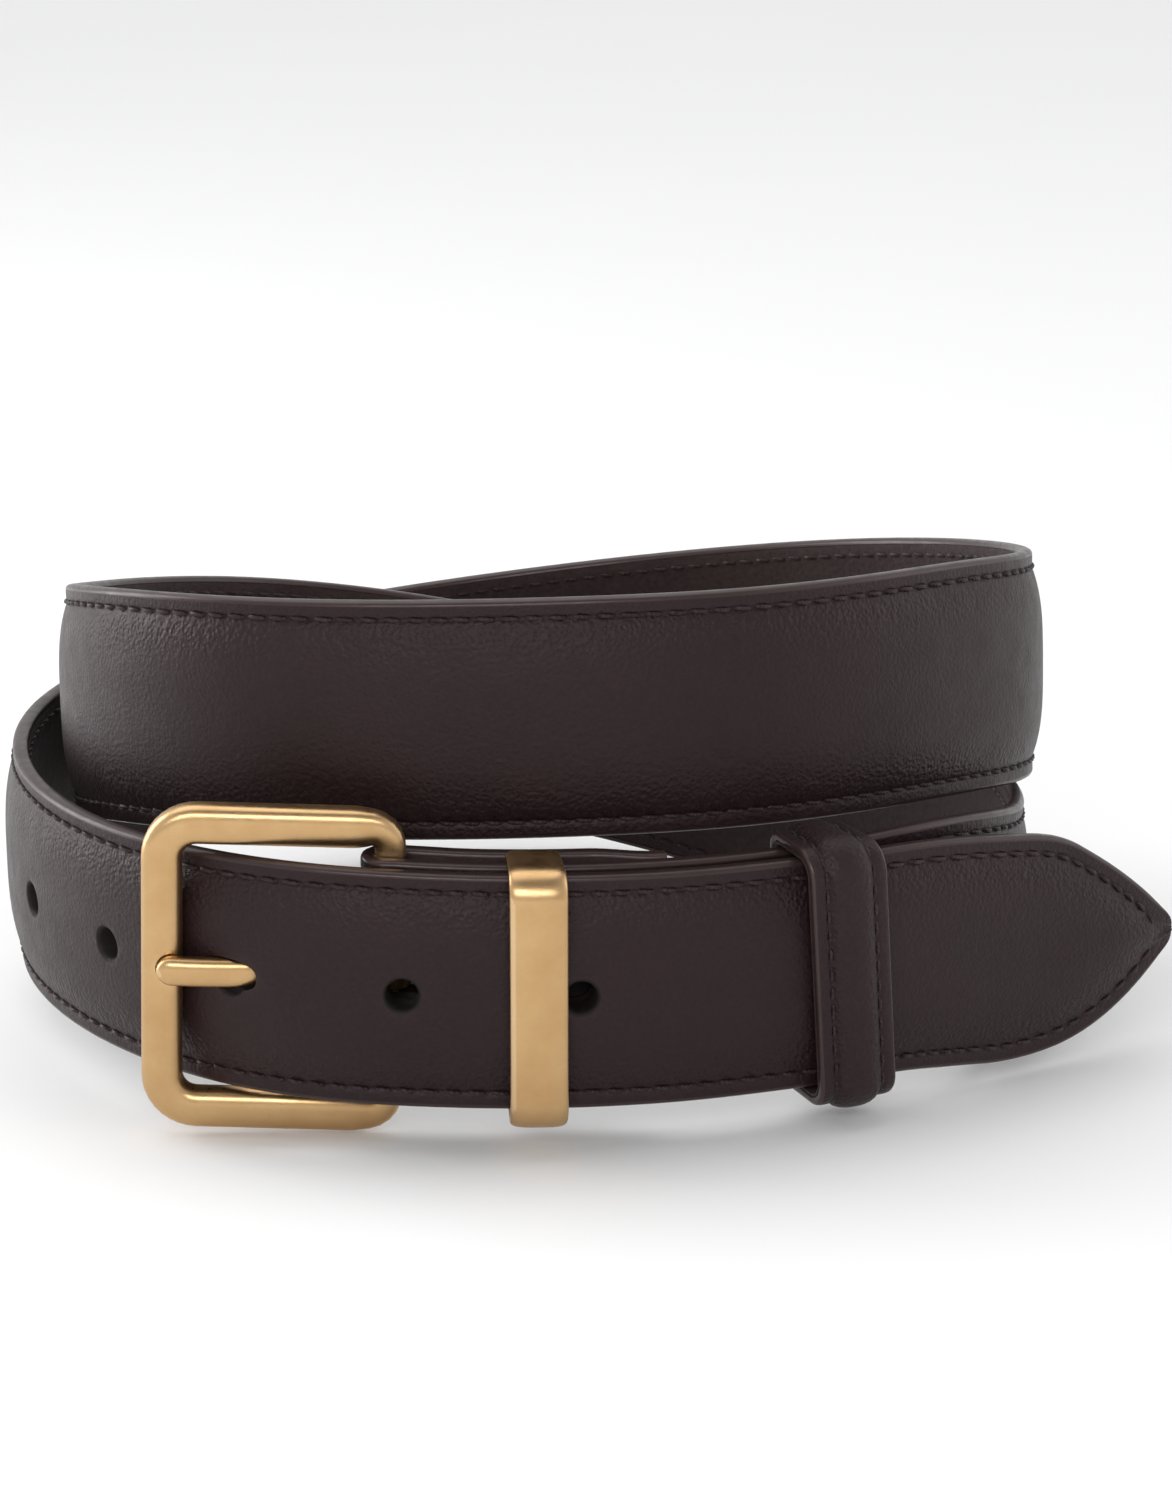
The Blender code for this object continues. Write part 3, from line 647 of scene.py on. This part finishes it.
def strap_ring(length, at_stitch):
    """One ring of the face piece: points, nearness to the crown's shoulder, and places across."""
    place = place_at(max(length, 0.0))
    half = half_width(length)
    lean = outline_lean(length)
    small = min(1 / lean, half / 4.4)
    stop = CENTRE_STOP * small
    spans = [(half - stop) * share for share in CENTRE_SHARES]
    side = [(u, (half - u) * lean) for u in spans] + [(half - d * small, d) for d in RIM_OFFSETS]
    top = [(u, face_lift(d, half, length, at_stitch), d) for u, d in side]
    edge = [(half - d * min(small, 1.0), v, d) for d, v in EDGE_ROUND]
    inner = [(half - LINING_INSET * min(small, 1.0), -1.25, 0.0)]
    outer = top + edge + inner
    whole = [(-u, v, d) for u, v, d in reversed(outer[1:])] + outer
    points = [place.point(u, v) for u, v, _ in whole]
    shoulder = [math.exp(-(((d - 5.0) / 2.6) ** 2)) if v > -0.4 else 0.0 for _, v, d in whole]
    return points, shoulder, [u for u, _, _ in whole]


def strap_stations():
    """Lengths of the rings; every third one is at a stitch hole."""
    near = np.linspace(0, 4, 9)[:-1]
    tip = [(s, False) for s in [*near, *np.arange(4, TIP_SEAM_START - 0.5, 0.8)]]
    first = math.ceil(TIP_SEAM_START / PITCH) * 3
    last = int((WHOLE_LENGTH - 0.4) / STEP)
    body = [(k * STEP, k % 3 == 0) for k in range(first, last)]
    return tip + body + [(WHOLE_LENGTH, False)]


def make_strap():
    rings, shoulders, across, along = [], [], [], []
    for length, at_stitch in strap_stations():
        points, shoulder, u = strap_ring(length, at_stitch)
        rings.append(points)
        shoulders.append(shoulder)
        across.append(u)
        along.append([length] * len(u))
    rings = np.array(rings, float)
    # The tip's nose is rounded like the rest of the edge
    middle = rings[0].mean(axis=0)
    forward = middle - rings[2].mean(axis=0)
    forward /= np.linalg.norm(forward)
    across_tip = np.array(place_at(0.0).across)
    offset = rings[0] - middle
    wide = np.outer(offset @ across_tip, across_tip)
    nose = [middle + wide * w + (offset - wide) * t + forward * reach for w, t, reach in NOSE]
    rings = np.concatenate([np.array(nose), rings])
    shoulders = [shoulders[0]] * len(NOSE) + shoulders
    across = [across[0]] * len(NOSE) + across
    along = [along[0]] * len(NOSE) + along
    columns = rings.shape[1]
    edge_columns = len(EDGE_ROUND) + 1
    slots = [1 if i < edge_columns or i >= columns - edge_columns - 1 else 0 for i in range(columns)]
    mesh = grid_mesh("strap_face", rings, slots=slots)
    attribute(mesh, "shoulder", shoulders)
    attribute(mesh, "across", across)
    attribute(mesh, "along", along)
    face = link("strap_face", mesh, [FACE, EDGE], "strap", 0)

    rows = []
    for length, _ in strap_stations():
        place = place_at(max(length, 0.0))
        half = half_width(length)
        reach = half - (LINING_INSET + 0.02) * min(1.0, half / 4.4)
        shape = [(share * reach, -1.3) for share in (-1, -0.5, 0, 0.5, 1)]
        back = [(1.0, -2.3), (0.985, -2.38), (0.88, -2.42), (0.5, -2.42), (0.0, -2.42)]
        shape += [(share * reach, v) for share, v in back]
        shape += [(-share * reach, v) for share, v in reversed(back[:-1])]
        rows.append([place.point(u, v) for u, v in shape])
    lining = link("strap_lining", grid_mesh("strap_lining", rows), [LINING], "strap")
    return face, lining


def distances(points):
    """How far along the line each point is."""
    steps = [0.0]
    for p, q in zip(points, points[1:]):
        steps.append(steps[-1] + (q - p).length)
    return steps


def locate(steps, distance):
    """The stretch of a line that holds this distance, and the share of the stretch before it."""
    i = min(int(np.searchsorted(steps, distance, side="right")) - 1, len(steps) - 2)
    return i, (distance - steps[i]) / max(steps[i + 1] - steps[i], 1e-6)


def one_stitch(a, b, normal, width=0.62, height=0.5, rise=0.2, slant=0.12):
    """Rings of a thread that comes up at a, lies along to b and goes down again."""
    along = (b - a).normalized()
    side = normal.cross(along).normalized()
    length = (b - a).length
    lifts = (-0.34, -0.06, rise * 0.85, rise, rise * 0.85, -0.06, -0.34)
    rings = []
    for share, size, lift in zip(STITCH_SHARES, STITCH_SIZES, lifts):
        middle = a + along * (length * share) + normal * lift + side * (slant * (0.5 - share) * 2)
        ring = []
        for k in range(STITCH_SIDES):
            angle = math.tau * k / STITCH_SIDES
            ring.append(middle + side * (math.cos(angle) * width / 2 * size)
                        + normal * (math.sin(angle) * height / 2 * size))
        rings.append(ring)
    return rings


def stitch_mesh(name, pairs, **shape):
    """Many separate stitches as one mesh. pairs are (from, to, normal)."""
    points, faces = [], []
    for a, b, normal in pairs:
        rings = one_stitch(a, b, normal, **shape)
        base = len(points)
        count = len(rings[0])
        for ring in rings:
            points.extend(ring)
        for r in range(len(rings) - 1):
            for k in range(count):
                j = (k + 1) % count
                low = base + r * count
                faces.append((low + k, low + j, low + count + j, low + count + k))
        faces.append([base + k for k in reversed(range(count))])
        top = base + (len(rings) - 1) * count
        faces.append([top + k for k in range(count)])
    mesh = bpy.data.meshes.new(name)
    mesh.from_pydata([p * MM for p in points], [], faces)
    fix_normals(mesh)
    return mesh


def seam_pairs(lift, stop, back=False):
    """Stitches along both edges and round the pointed tip."""
    pairs = []
    first = math.ceil(TIP_SEAM_START / PITCH)
    last = int(stop / PITCH)
    for sign in (-1, 1):
        for k in range(first, last):
            u = sign * (HALF - SEAM_INSET)
            near, far = place_at(k * PITCH + STITCH_GAP / 2), place_at((k + 1) * PITCH - STITCH_GAP / 2)
            normal = near.normal * (-1 if back else 1)
            pairs.append((near.point(u, lift), far.point(u, lift), normal))
    start = first * PITCH
    lengths = [start - 0.5 * i for i in range(int((start - 2.6) / 0.5))]
    lower = [(s, SEAM_INSET / outline_lean(s) - half_width(s)) for s in lengths]
    upper = [(s, -u) for s, u in reversed(lower)]
    curve = [(place_at(s).point(u, lift), place_at(s).normal) for s, u in lower + [(2.5, 0.0)] + upper]
    steps = distances([point for point, _ in curve])
    count = round(steps[-1] / PITCH)
    pitch = steps[-1] / count

    def at(distance):
        i, share = locate(steps, distance)
        return curve[i][0].lerp(curve[i + 1][0], share), curve[i][1]

    for k in range(count):
        a, normal = at(k * pitch + STITCH_GAP / 2)
        b, _ = at((k + 1) * pitch - STITCH_GAP / 2)
        pairs.append((a, b, normal * (-1 if back else 1)))
    return pairs


def make_stitches():
    front = stitch_mesh("strap_stitches_face", seam_pairs(-0.06, STRAP_LENGTH - FACE_SEAM_STOP))
    piece = link("strap_stitches_face", front, [THREAD], "strap", 0)
    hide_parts("edge_thread_face")
    pairs = seam_pairs(-THICKNESS - 0.05, STRAP_LENGTH - BACK_SEAM_STOP, True)
    rear = stitch_mesh("strap_stitches_back", pairs, rise=0.16)
    piece = link("strap_stitches_back", rear, [THREAD], "strap", 0)
    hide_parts("edge_thread_back")
    for node, name, distance in FOLD_ROWS:
        place = tail_place(distance, tail_depth(distance))
        normal = -place.normal
        reach = HALF - SEAM_INSET
        count = int(2 * reach / PITCH)
        pairs = []
        for k in range(count):
            u = -reach + k * 2 * reach / count
            v = u + 2 * reach / count - 0.5
            a = place.point(u, 0) + normal * 0.05
            b = place.point(v, 0) + normal * 0.05
            pairs.append((a, b, normal))
        piece = link(name, stitch_mesh(name, pairs), [THREAD], "strap", 0)
        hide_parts(node)


# ---------------------------------------------------------------- buckle

class HeelSpace:
    """Axes at the heel bar: reach towards the front bar, up along the bar, out of the face."""

    def __init__(self, swing):
        heel = arc_place(HEEL_TURN)
        self.up = heel.across
        self.origin = heel.point(-FRAME_DROP, -HEEL_DEPTH)
        angle = math.radians(swing)
        flat = Vector((-math.cos(angle), math.sin(angle), 0))
        self.out = self.up.cross(flat).normalized()
        self.reach = self.out.cross(self.up).normalized()

    def at(self, reach, up, out=0.0):
        return self.origin + self.reach * reach + self.up * up + self.out * out


SPACE = HeelSpace(FRAME_ANGLE)
BOW = natural_spline((0, 8, 20, 28, 36), (0.0, 1.3, 2.9, 3.2, 2.5))


def corner(reach, up, start, turn, radius, steps):
    angles = [math.radians(start + turn * k / steps) for k in range(steps + 1)]
    return [SPACE.at(reach + radius * math.cos(a), up + radius * math.sin(a)) for a in angles]


def spread(points, step):
    """The same line with points evenly spaced."""
    lengths = distances(points)
    count = max(2, round(lengths[-1] / step))
    flat = np.array(points)
    where = np.linspace(0, lengths[-1], count + 1)
    columns = [np.interp(where, lengths, flat[:, k]) for k in range(3)]
    return [Vector(row) for row in np.array(columns).T]


def prong_section(reach, grow, play):
    """The prong's outline here: it is rounded off over its last few millimetres."""
    share = max(0.0, 1 - (PRONG_TIP + grow - reach) / (PRONG_ROUND + grow))
    narrow = math.sqrt(max(0.03, 1 - share * share))
    half = (PRONG_WIDTH / 2 + grow) * narrow
    depth = 1.0 if grow else 0.5 + 0.5 * narrow
    low = (PRONG_THICKNESS / 2) * depth + grow
    high = (PRONG_THICKNESS / 2) * depth + grow + play
    outline = []
    for i in range(28):
        angle = math.tau * (i + 0.5) / 28
        c, s = math.cos(angle), math.sin(angle)
        a = math.copysign(abs(c) ** (2 / 2.7), c) * half
        b = math.copysign(abs(s) ** (2 / 2.4), s)
        outline.append((a, b * (high if b > 0 else low)))
    return outline


def prong_mesh(grow=0.0, play=0.0):
    end = PRONG_TIP + grow
    reaches = list(np.arange(1.0, end - 2.6, 0.8))
    reaches += [end - 2.2 * share for share in (1.0, 0.85, 0.7, 0.55, 0.42, 0.3, 0.2, 0.12, 0.05, 0.0)]
    points = [SPACE.at(r, FRAME_DROP, BOW(r)) for r in reaches]
    ups = [SPACE.out] * len(points)
    rings = sweep_rings(points, ups, lambda i: prong_section(reaches[i], grow, reaches[i] * play))
    return grid_mesh("prong_shape", rings)


def make_buckle():
    far = FRAME_REACH - FRAME_CORNER
    high = FRAME_HALF_HEIGHT - FRAME_CORNER
    hook_high = FRAME_HALF_HEIGHT - HOOK_RADIUS
    line = [SPACE.at(0, HOOK_END - 0.6)]
    line += corner(HOOK_RADIUS, hook_high, 180, -90, HOOK_RADIUS, 10)
    line += corner(far, high, 90, -90, FRAME_CORNER, 16)
    line += corner(far, -high, 0, -90, FRAME_CORNER, 16)
    line += corner(HOOK_RADIUS, -hook_high, 270, -90, HOOK_RADIUS, 10)
    line += [SPACE.at(0, -HOOK_END + 0.6)]
    points = spread(line, 0.9)
    count = len(points)

    def section(i):
        from_end = min(i, count - 1 - i) * 0.9
        slim = 0.76 + 0.24 * float(np.clip((from_end - 1.5) / 6.0, 0, 1)) ** 1.4
        return superellipse(FRAME_BAR * slim, FRAME_DEPTH * slim, 36, 2.9)

    rings = sweep_rings(points, [SPACE.out] * count, section)
    mesh = grid_mesh("buckle_frame_satin", rings)
    piece = link("buckle_frame_satin", mesh, [BRASS], "buckle", 0)
    boolean(piece, prong_mesh(NOTCH_CLEARANCE))
    piece.data.set_sharp_from_angle(angle=math.radians(48))
    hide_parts("buckle_frame")

    bar = lathe(SPACE.at(0, 0), SPACE.up, bar_profile(1.5, 39.4))
    piece = link("heel_bar_pin", bar, [BAR_BRASS], "buckle", 40)
    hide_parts("heel_bar")

    tongue = link("prong_tongue", prong_mesh(), [BRASS], "prong", 0)
    centre = SPACE.at(0, FRAME_DROP)
    eye = lathe(centre, SPACE.up, bar_profile(PRONG_EYE, PRONG_WIDTH, 0.5))
    boolean(tongue, eye, "UNION")
    bore_radius = HEEL_BAR_RADIUS + EYE_CLEARANCE
    bore = lathe(centre, SPACE.up, [(bore_radius, -4.0), (bore_radius, 4.0)])
    boolean(tongue, bore)
    tongue.data.set_sharp_from_angle(angle=math.radians(48))
    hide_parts("prong")


def bar_profile(radius, length, round_off=0.35):
    half = length / 2
    bevel = 0.3 * round_off
    ends = [(radius - round_off, half), (radius - bevel, half - bevel), (radius, half - round_off)]
    return [(r, -h) for r, h in ends] + [(r, h) for r, h in reversed(ends)]


def hole_punches():
    """Holes whose rims are pressed in a little, as a punch leaves them."""
    shapes = []
    for k in range(HOLE_COUNT):
        place = place_at(FIRST_HOLE_FROM_TIP + k * HOLE_PITCH)
        profile = [(HOLE_RIM[0][0], HOLE_DEPTH)]
        profile += [(radius, CROWN + height) for radius, height in HOLE_RIM]
        shapes.append(lathe(place.point(0, 0), place.normal, profile))
    return joined("hole_punches", shapes)


def fold_slot():
    """The slot through the fold, where the prong's eye sits on the bar."""
    high = (PRONG_WIDTH + 1.2) / 2
    corners = ((-4.6, -6.0), (7.5, -6.0), (7.5, 5.6), (-4.6, 5.6))
    rings = [[SPACE.at(reach, FRAME_DROP + side * high, out) for reach, out in corners] for side in (-1, 1)]
    return grid_mesh("fold_slot", rings)


# ---------------------------------------------------------------- keepers

def loop_line(front_radius, back_radius):
    """(u, v, normal u, normal v) round both layers of the strap, starting at the back's middle."""
    high = HALF + KEEPER_GAP
    front = CROWN + KEEPER_GAP
    back = -KEEPER_BACK_DEPTH
    line = []

    def run(u0, v0, u1, v1, nu, nv):
        count = max(2, round(math.hypot(u1 - u0, v1 - v0) / LOOP_STEP))
        for k in range(count):
            share = k / count
            line.append((u0 + (u1 - u0) * share, v0 + (v1 - v0) * share, nu, nv))

    def bend(u, v, r, start):
        for k in range(BEND_STEPS):
            angle = math.radians(start + 90 * k / BEND_STEPS)
            c, s = math.cos(angle), math.sin(angle)
            line.append((u + r * c, v + r * s, c, s))

    run(0, back, high - back_radius, back, 0, -1)
    bend(high - back_radius, back + back_radius, back_radius, -90)
    run(high, back + back_radius, high, front - front_radius, 1, 0)
    bend(high - front_radius, front - front_radius, front_radius, 0)
    run(high - front_radius, front, -high + front_radius, front, 0, 1)
    bend(-high + front_radius, front - front_radius, front_radius, 90)
    run(-high, front - front_radius, -high, back + back_radius, -1, 0)
    bend(-high + back_radius, back + back_radius, back_radius, 180)
    run(-high + back_radius, back, 0, back, 0, -1)
    return line


class Loop:
    """Places round a keeper: the line's point, how far along the strap, and how far out."""

    def __init__(self, turn, skew, front_radius, back_radius):
        self.turn = turn
        self.skew = skew
        self.middle = arc_place(turn)
        self.line = loop_line(front_radius, back_radius)

    def at(self, spot, along, out):
        u, v, nu, nv = spot
        place = arc_place(self.turn + math.degrees(along / ARC_RADIUS))
        width = u + nu * out - KEEPER_SAG
        return place.point(width, v + nv * out) + self.middle.along * (self.skew * width)

    def normal(self, spot):
        _, _, nu, nv = spot
        return (self.middle.across * nu + self.middle.normal * nv).normalized()


def make_metal_keeper():
    loop = Loop(METAL_KEEPER_TURN, METAL_KEEPER_SKEW, 2.9, 1.3)
    half = METAL_KEEPER_WIDTH / 2
    rings = []
    for spot in loop.line:
        front = max(0.0, spot[3])
        wall = 1.45 + 0.65 * front
        ring = []
        for i in range(32):
            angle = math.tau * (i + 0.5) / 32
            c, s = math.cos(angle), math.sin(angle)
            a = math.copysign(abs(c) ** (2 / 3.6), c) * half
            b = math.copysign(abs(s) ** (2 / 2.5), s)
            ring.append(loop.at(spot, a, wall / 2 + b * wall / 2))
        rings.append(ring)
    mesh = grid_mesh("metal_keeper_satin", rings, looped=True)
    piece = link("metal_keeper_satin", mesh, [BRASS], "metal_keeper", 0)
    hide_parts("metal_keeper")


KEEPER_PROFILE = (
    (-5.6, 1.84), (-5.1, 1.9), (-4.6, 1.9), (-4.25, 1.87), (-3.95, 1.76), (-3.7, 1.66), (-3.45, 1.8),
    (-3.15, 2.12), (-2.7, 2.45), (-2.1, 2.7), (-1.4, 2.84), (-0.7, 2.9), (0.0, 2.92),
)


def make_leather_keeper():
    loop = Loop(LEATHER_KEEPER_TURN, LEATHER_KEEPER_SKEW, 2.4, 1.2)
    half = LEATHER_KEEPER_WIDTH / 2
    right = [(-a, h) for a, h in reversed(KEEPER_PROFILE[:-1])]
    edge = ((-5.85, 0.62), (-5.97, 0.85), (-6.0, 1.15), (-5.97, 1.45), (-5.85, 1.7))
    top = list(edge) + list(KEEPER_PROFILE) + right + [(-a, h) for a, h in reversed(edge)]
    base = [(3.0, 0.62), (0.0, 0.62), (-3.0, 0.62)]
    shape = top + base
    rings, shoulders = [], []
    for spot in loop.line:
        # The padding fades out on the back run, where the ends are lapped
        full = 1.0 if spot[3] > -0.5 else 0.35
        ring = []
        for a, h in shape:
            lift = 1.9 + (h - 1.9) * full if h > 1.9 else h
            ring.append(loop.at(spot, a, lift))
        rings.append(ring)
        shoulders.append([math.exp(-(((abs(a) - 3.0) / 1.2) ** 2)) if h > 1.6 else 0.0 for a, h in shape])
    columns = len(shape)
    slots = [1 if i < 5 or i >= columns - 9 else 0 for i in range(columns)]
    mesh = grid_mesh("keeper_face", rings, looped=True, slots=slots)
    attribute(mesh, "shoulder", shoulders)
    cover = link("keeper_face", mesh, [KEEPER_FACE, EDGE], "leather_keeper", 0)
    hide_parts("keeper_leather", "keeper_padding")

    inner = ((-half + 0.2, 0.06), (-half + 0.05, 0.3), (-half + 0.2, 0.58), (0, 0.58), (half - 0.2, 0.58),
             (half - 0.05, 0.3), (half - 0.2, 0.06), (0, 0.02))
    rows = [[loop.at(spot, a, h) for a, h in inner] for spot in loop.line]
    mesh = grid_mesh("keeper_lining_leather", rows, looped=True)
    lining = link("keeper_lining_leather", mesh, [LINING], "leather_keeper", 0)
    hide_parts("keeper_lining")

    for name, node, offset in KEEPER_ROWS:
        line = [(loop.at(spot, -offset, 1.72), loop.normal(spot)) for spot in loop.line]
        line.append(line[0])
        steps = distances([point for point, _ in line])
        count = round(steps[-1] / KEEPER_PITCH)
        pitch = steps[-1] / count

        def at(distance):
            i, share = locate(steps, distance)
            normal = line[i][1].lerp(line[i + 1][1], share).normalized()
            return line[i][0].lerp(line[i + 1][0], share), normal

        pairs = []
        for k in range(count):
            a, normal = at(k * pitch + KEEPER_STITCH_GAP)
            b, _ = at((k + 1) * pitch - KEEPER_STITCH_GAP)
            pairs.append((a, b, normal))
        mesh = stitch_mesh(name, pairs, width=0.52, height=0.42, rise=0.16, slant=0.08)
        piece = link(name, mesh, [THREAD], "leather_keeper", 0)
        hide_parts(node)
    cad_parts["keeper_staple"].data.materials.clear()
    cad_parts["keeper_staple"].data.materials.append(BAR_BRASS)


# ---------------------------------------------------------------- studio

def make_studio():
    """A pale floor, a soft surround and large soft lights."""
    scene = bpy.context.scene
    floor = bpy.data.meshes.new("floor")
    size = 6.0
    corners = [(-size, -size, 0), (size, -size, 0), (size, size, 0), (-size, size, 0)]
    floor.from_pydata(corners, [], [(0, 1, 2, 3)])
    n = Nodes("pale_floor")
    shade = n.mix(n.noise(6.0, 2.0), (0.85, 0.85, 0.85), (0.87, 0.87, 0.87))
    normal = n.bump(n.noise(900.0), 0.0001, 0.05)
    floor.materials.append(n.finish(shade, 0.7, normal, Specular_IOR_Level=0.2))
    piece = bpy.data.objects.new("floor", floor)
    piece.location.z = -0.0001
    scene.collection.objects.link(piece)

    world = bpy.data.worlds.new("studio")
    world.use_nodes = True
    tree = world.node_tree
    background = tree.nodes["Background"]
    where = tree.nodes.new("ShaderNodeTexCoord").outputs["Generated"]
    split = tree.nodes.new("ShaderNodeSeparateXYZ")
    tree.links.new(where, split.inputs[0])

    def maths(operation, a, b):
        node = tree.nodes.new("ShaderNodeMath")
        node.operation = operation
        for socket, value in zip(node.inputs, (a, b)):
            if isinstance(value, bpy.types.NodeSocket):
                tree.links.new(value, socket)
            else:
                socket.default_value = value
        return node.outputs[0]

    sides = maths("ABSOLUTE", split.outputs[0], 0.0)
    light = maths("MAXIMUM", sides, maths("ADD", split.outputs[1], 0.35))
    ramp = tree.nodes.new("ShaderNodeValToRGB")
    ramp.color_ramp.elements[0].position = 0.25
    ramp.color_ramp.elements[0].color = (0.3, 0.3, 0.31, 1)
    ramp.color_ramp.elements[1].position = 0.85
    ramp.color_ramp.elements[1].color = (1.0, 1.0, 1.0, 1)
    tree.links.new(light, ramp.inputs[0])
    tree.links.new(ramp.outputs[0], background.inputs["Color"])
    background.inputs["Strength"].default_value = 0.85
    scene.world = world

    sun = bpy.data.lights.new("overhead", "SUN")
    sun.energy = 1.1
    sun.angle = math.radians(60)
    holder = bpy.data.objects.new("overhead", sun)
    holder.rotation_euler = (math.radians(-14), math.radians(-8), 0)
    scene.collection.objects.link(holder)
    for name, place, target, size_x, size_y, power in (
        ("front_strip", (-0.1, -0.95, 0.45), (0, -0.06, 0.04), 0.8, 0.24, 4.5),
        ("left_softbox", (-0.8, 0.3, 0.3), (0, 0, 0.04), 0.5, 0.7, 5.0),
        ("right_softbox", (0.85, 0.15, 0.35), (0, 0, 0.04), 0.5, 0.7, 1.0),
    ):
        lamp = bpy.data.lights.new(name, "AREA")
        lamp.shape = "RECTANGLE"
        lamp.size, lamp.size_y = size_x, size_y
        lamp.energy = power
        holder = bpy.data.objects.new(name, lamp)
        holder.location = place
        holder.rotation_euler = (Vector(target) - Vector(place)).to_track_quat("-Z", "Y").to_euler()
        scene.collection.objects.link(holder)
    scene.view_settings.view_transform = "Standard"


def make_camera():
    """The front view: 16 degrees above the table, about 0.77 m away."""
    elevation = math.radians(15.87)
    target = (AXIS_FOOT + Vector((10.5, 0, 25.64))) * MM
    lens = bpy.data.cameras.new("camera")
    lens.lens = 119.18
    lens.sensor_width = 36.0
    lens.sensor_fit = "AUTO"
    lens.shift_x = 0.0
    lens.shift_y = 0.0539
    lens.clip_start = 0.01
    camera = bpy.data.objects.new("camera", lens)
    camera.location = target + Vector((0, -math.cos(elevation), math.sin(elevation))) * 0.7691
    camera.rotation_euler = (math.pi / 2 - elevation, 0, 0)
    bpy.context.scene.collection.objects.link(camera)
    bpy.context.scene.camera = camera


make_camera()
strap_face, strap_lining = make_strap()
boolean(strap_face, hole_punches(), material=RAW)
boolean(strap_lining, hole_punches(), material=RAW)
for leather in (strap_face, strap_lining):
    boolean(leather, prong_mesh(TUNNEL_CLEARANCE, PRONG_PLAY), material=RAW)
    boolean(leather, fold_slot(), material=RAW)
    leather.data.set_sharp_from_angle(angle=math.radians(60))
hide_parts("strap_outer_leather", "strap_padding")
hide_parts("strap_lining_leather")
make_stitches()
make_buckle()
make_metal_keeper()
make_leather_keeper()
make_studio()
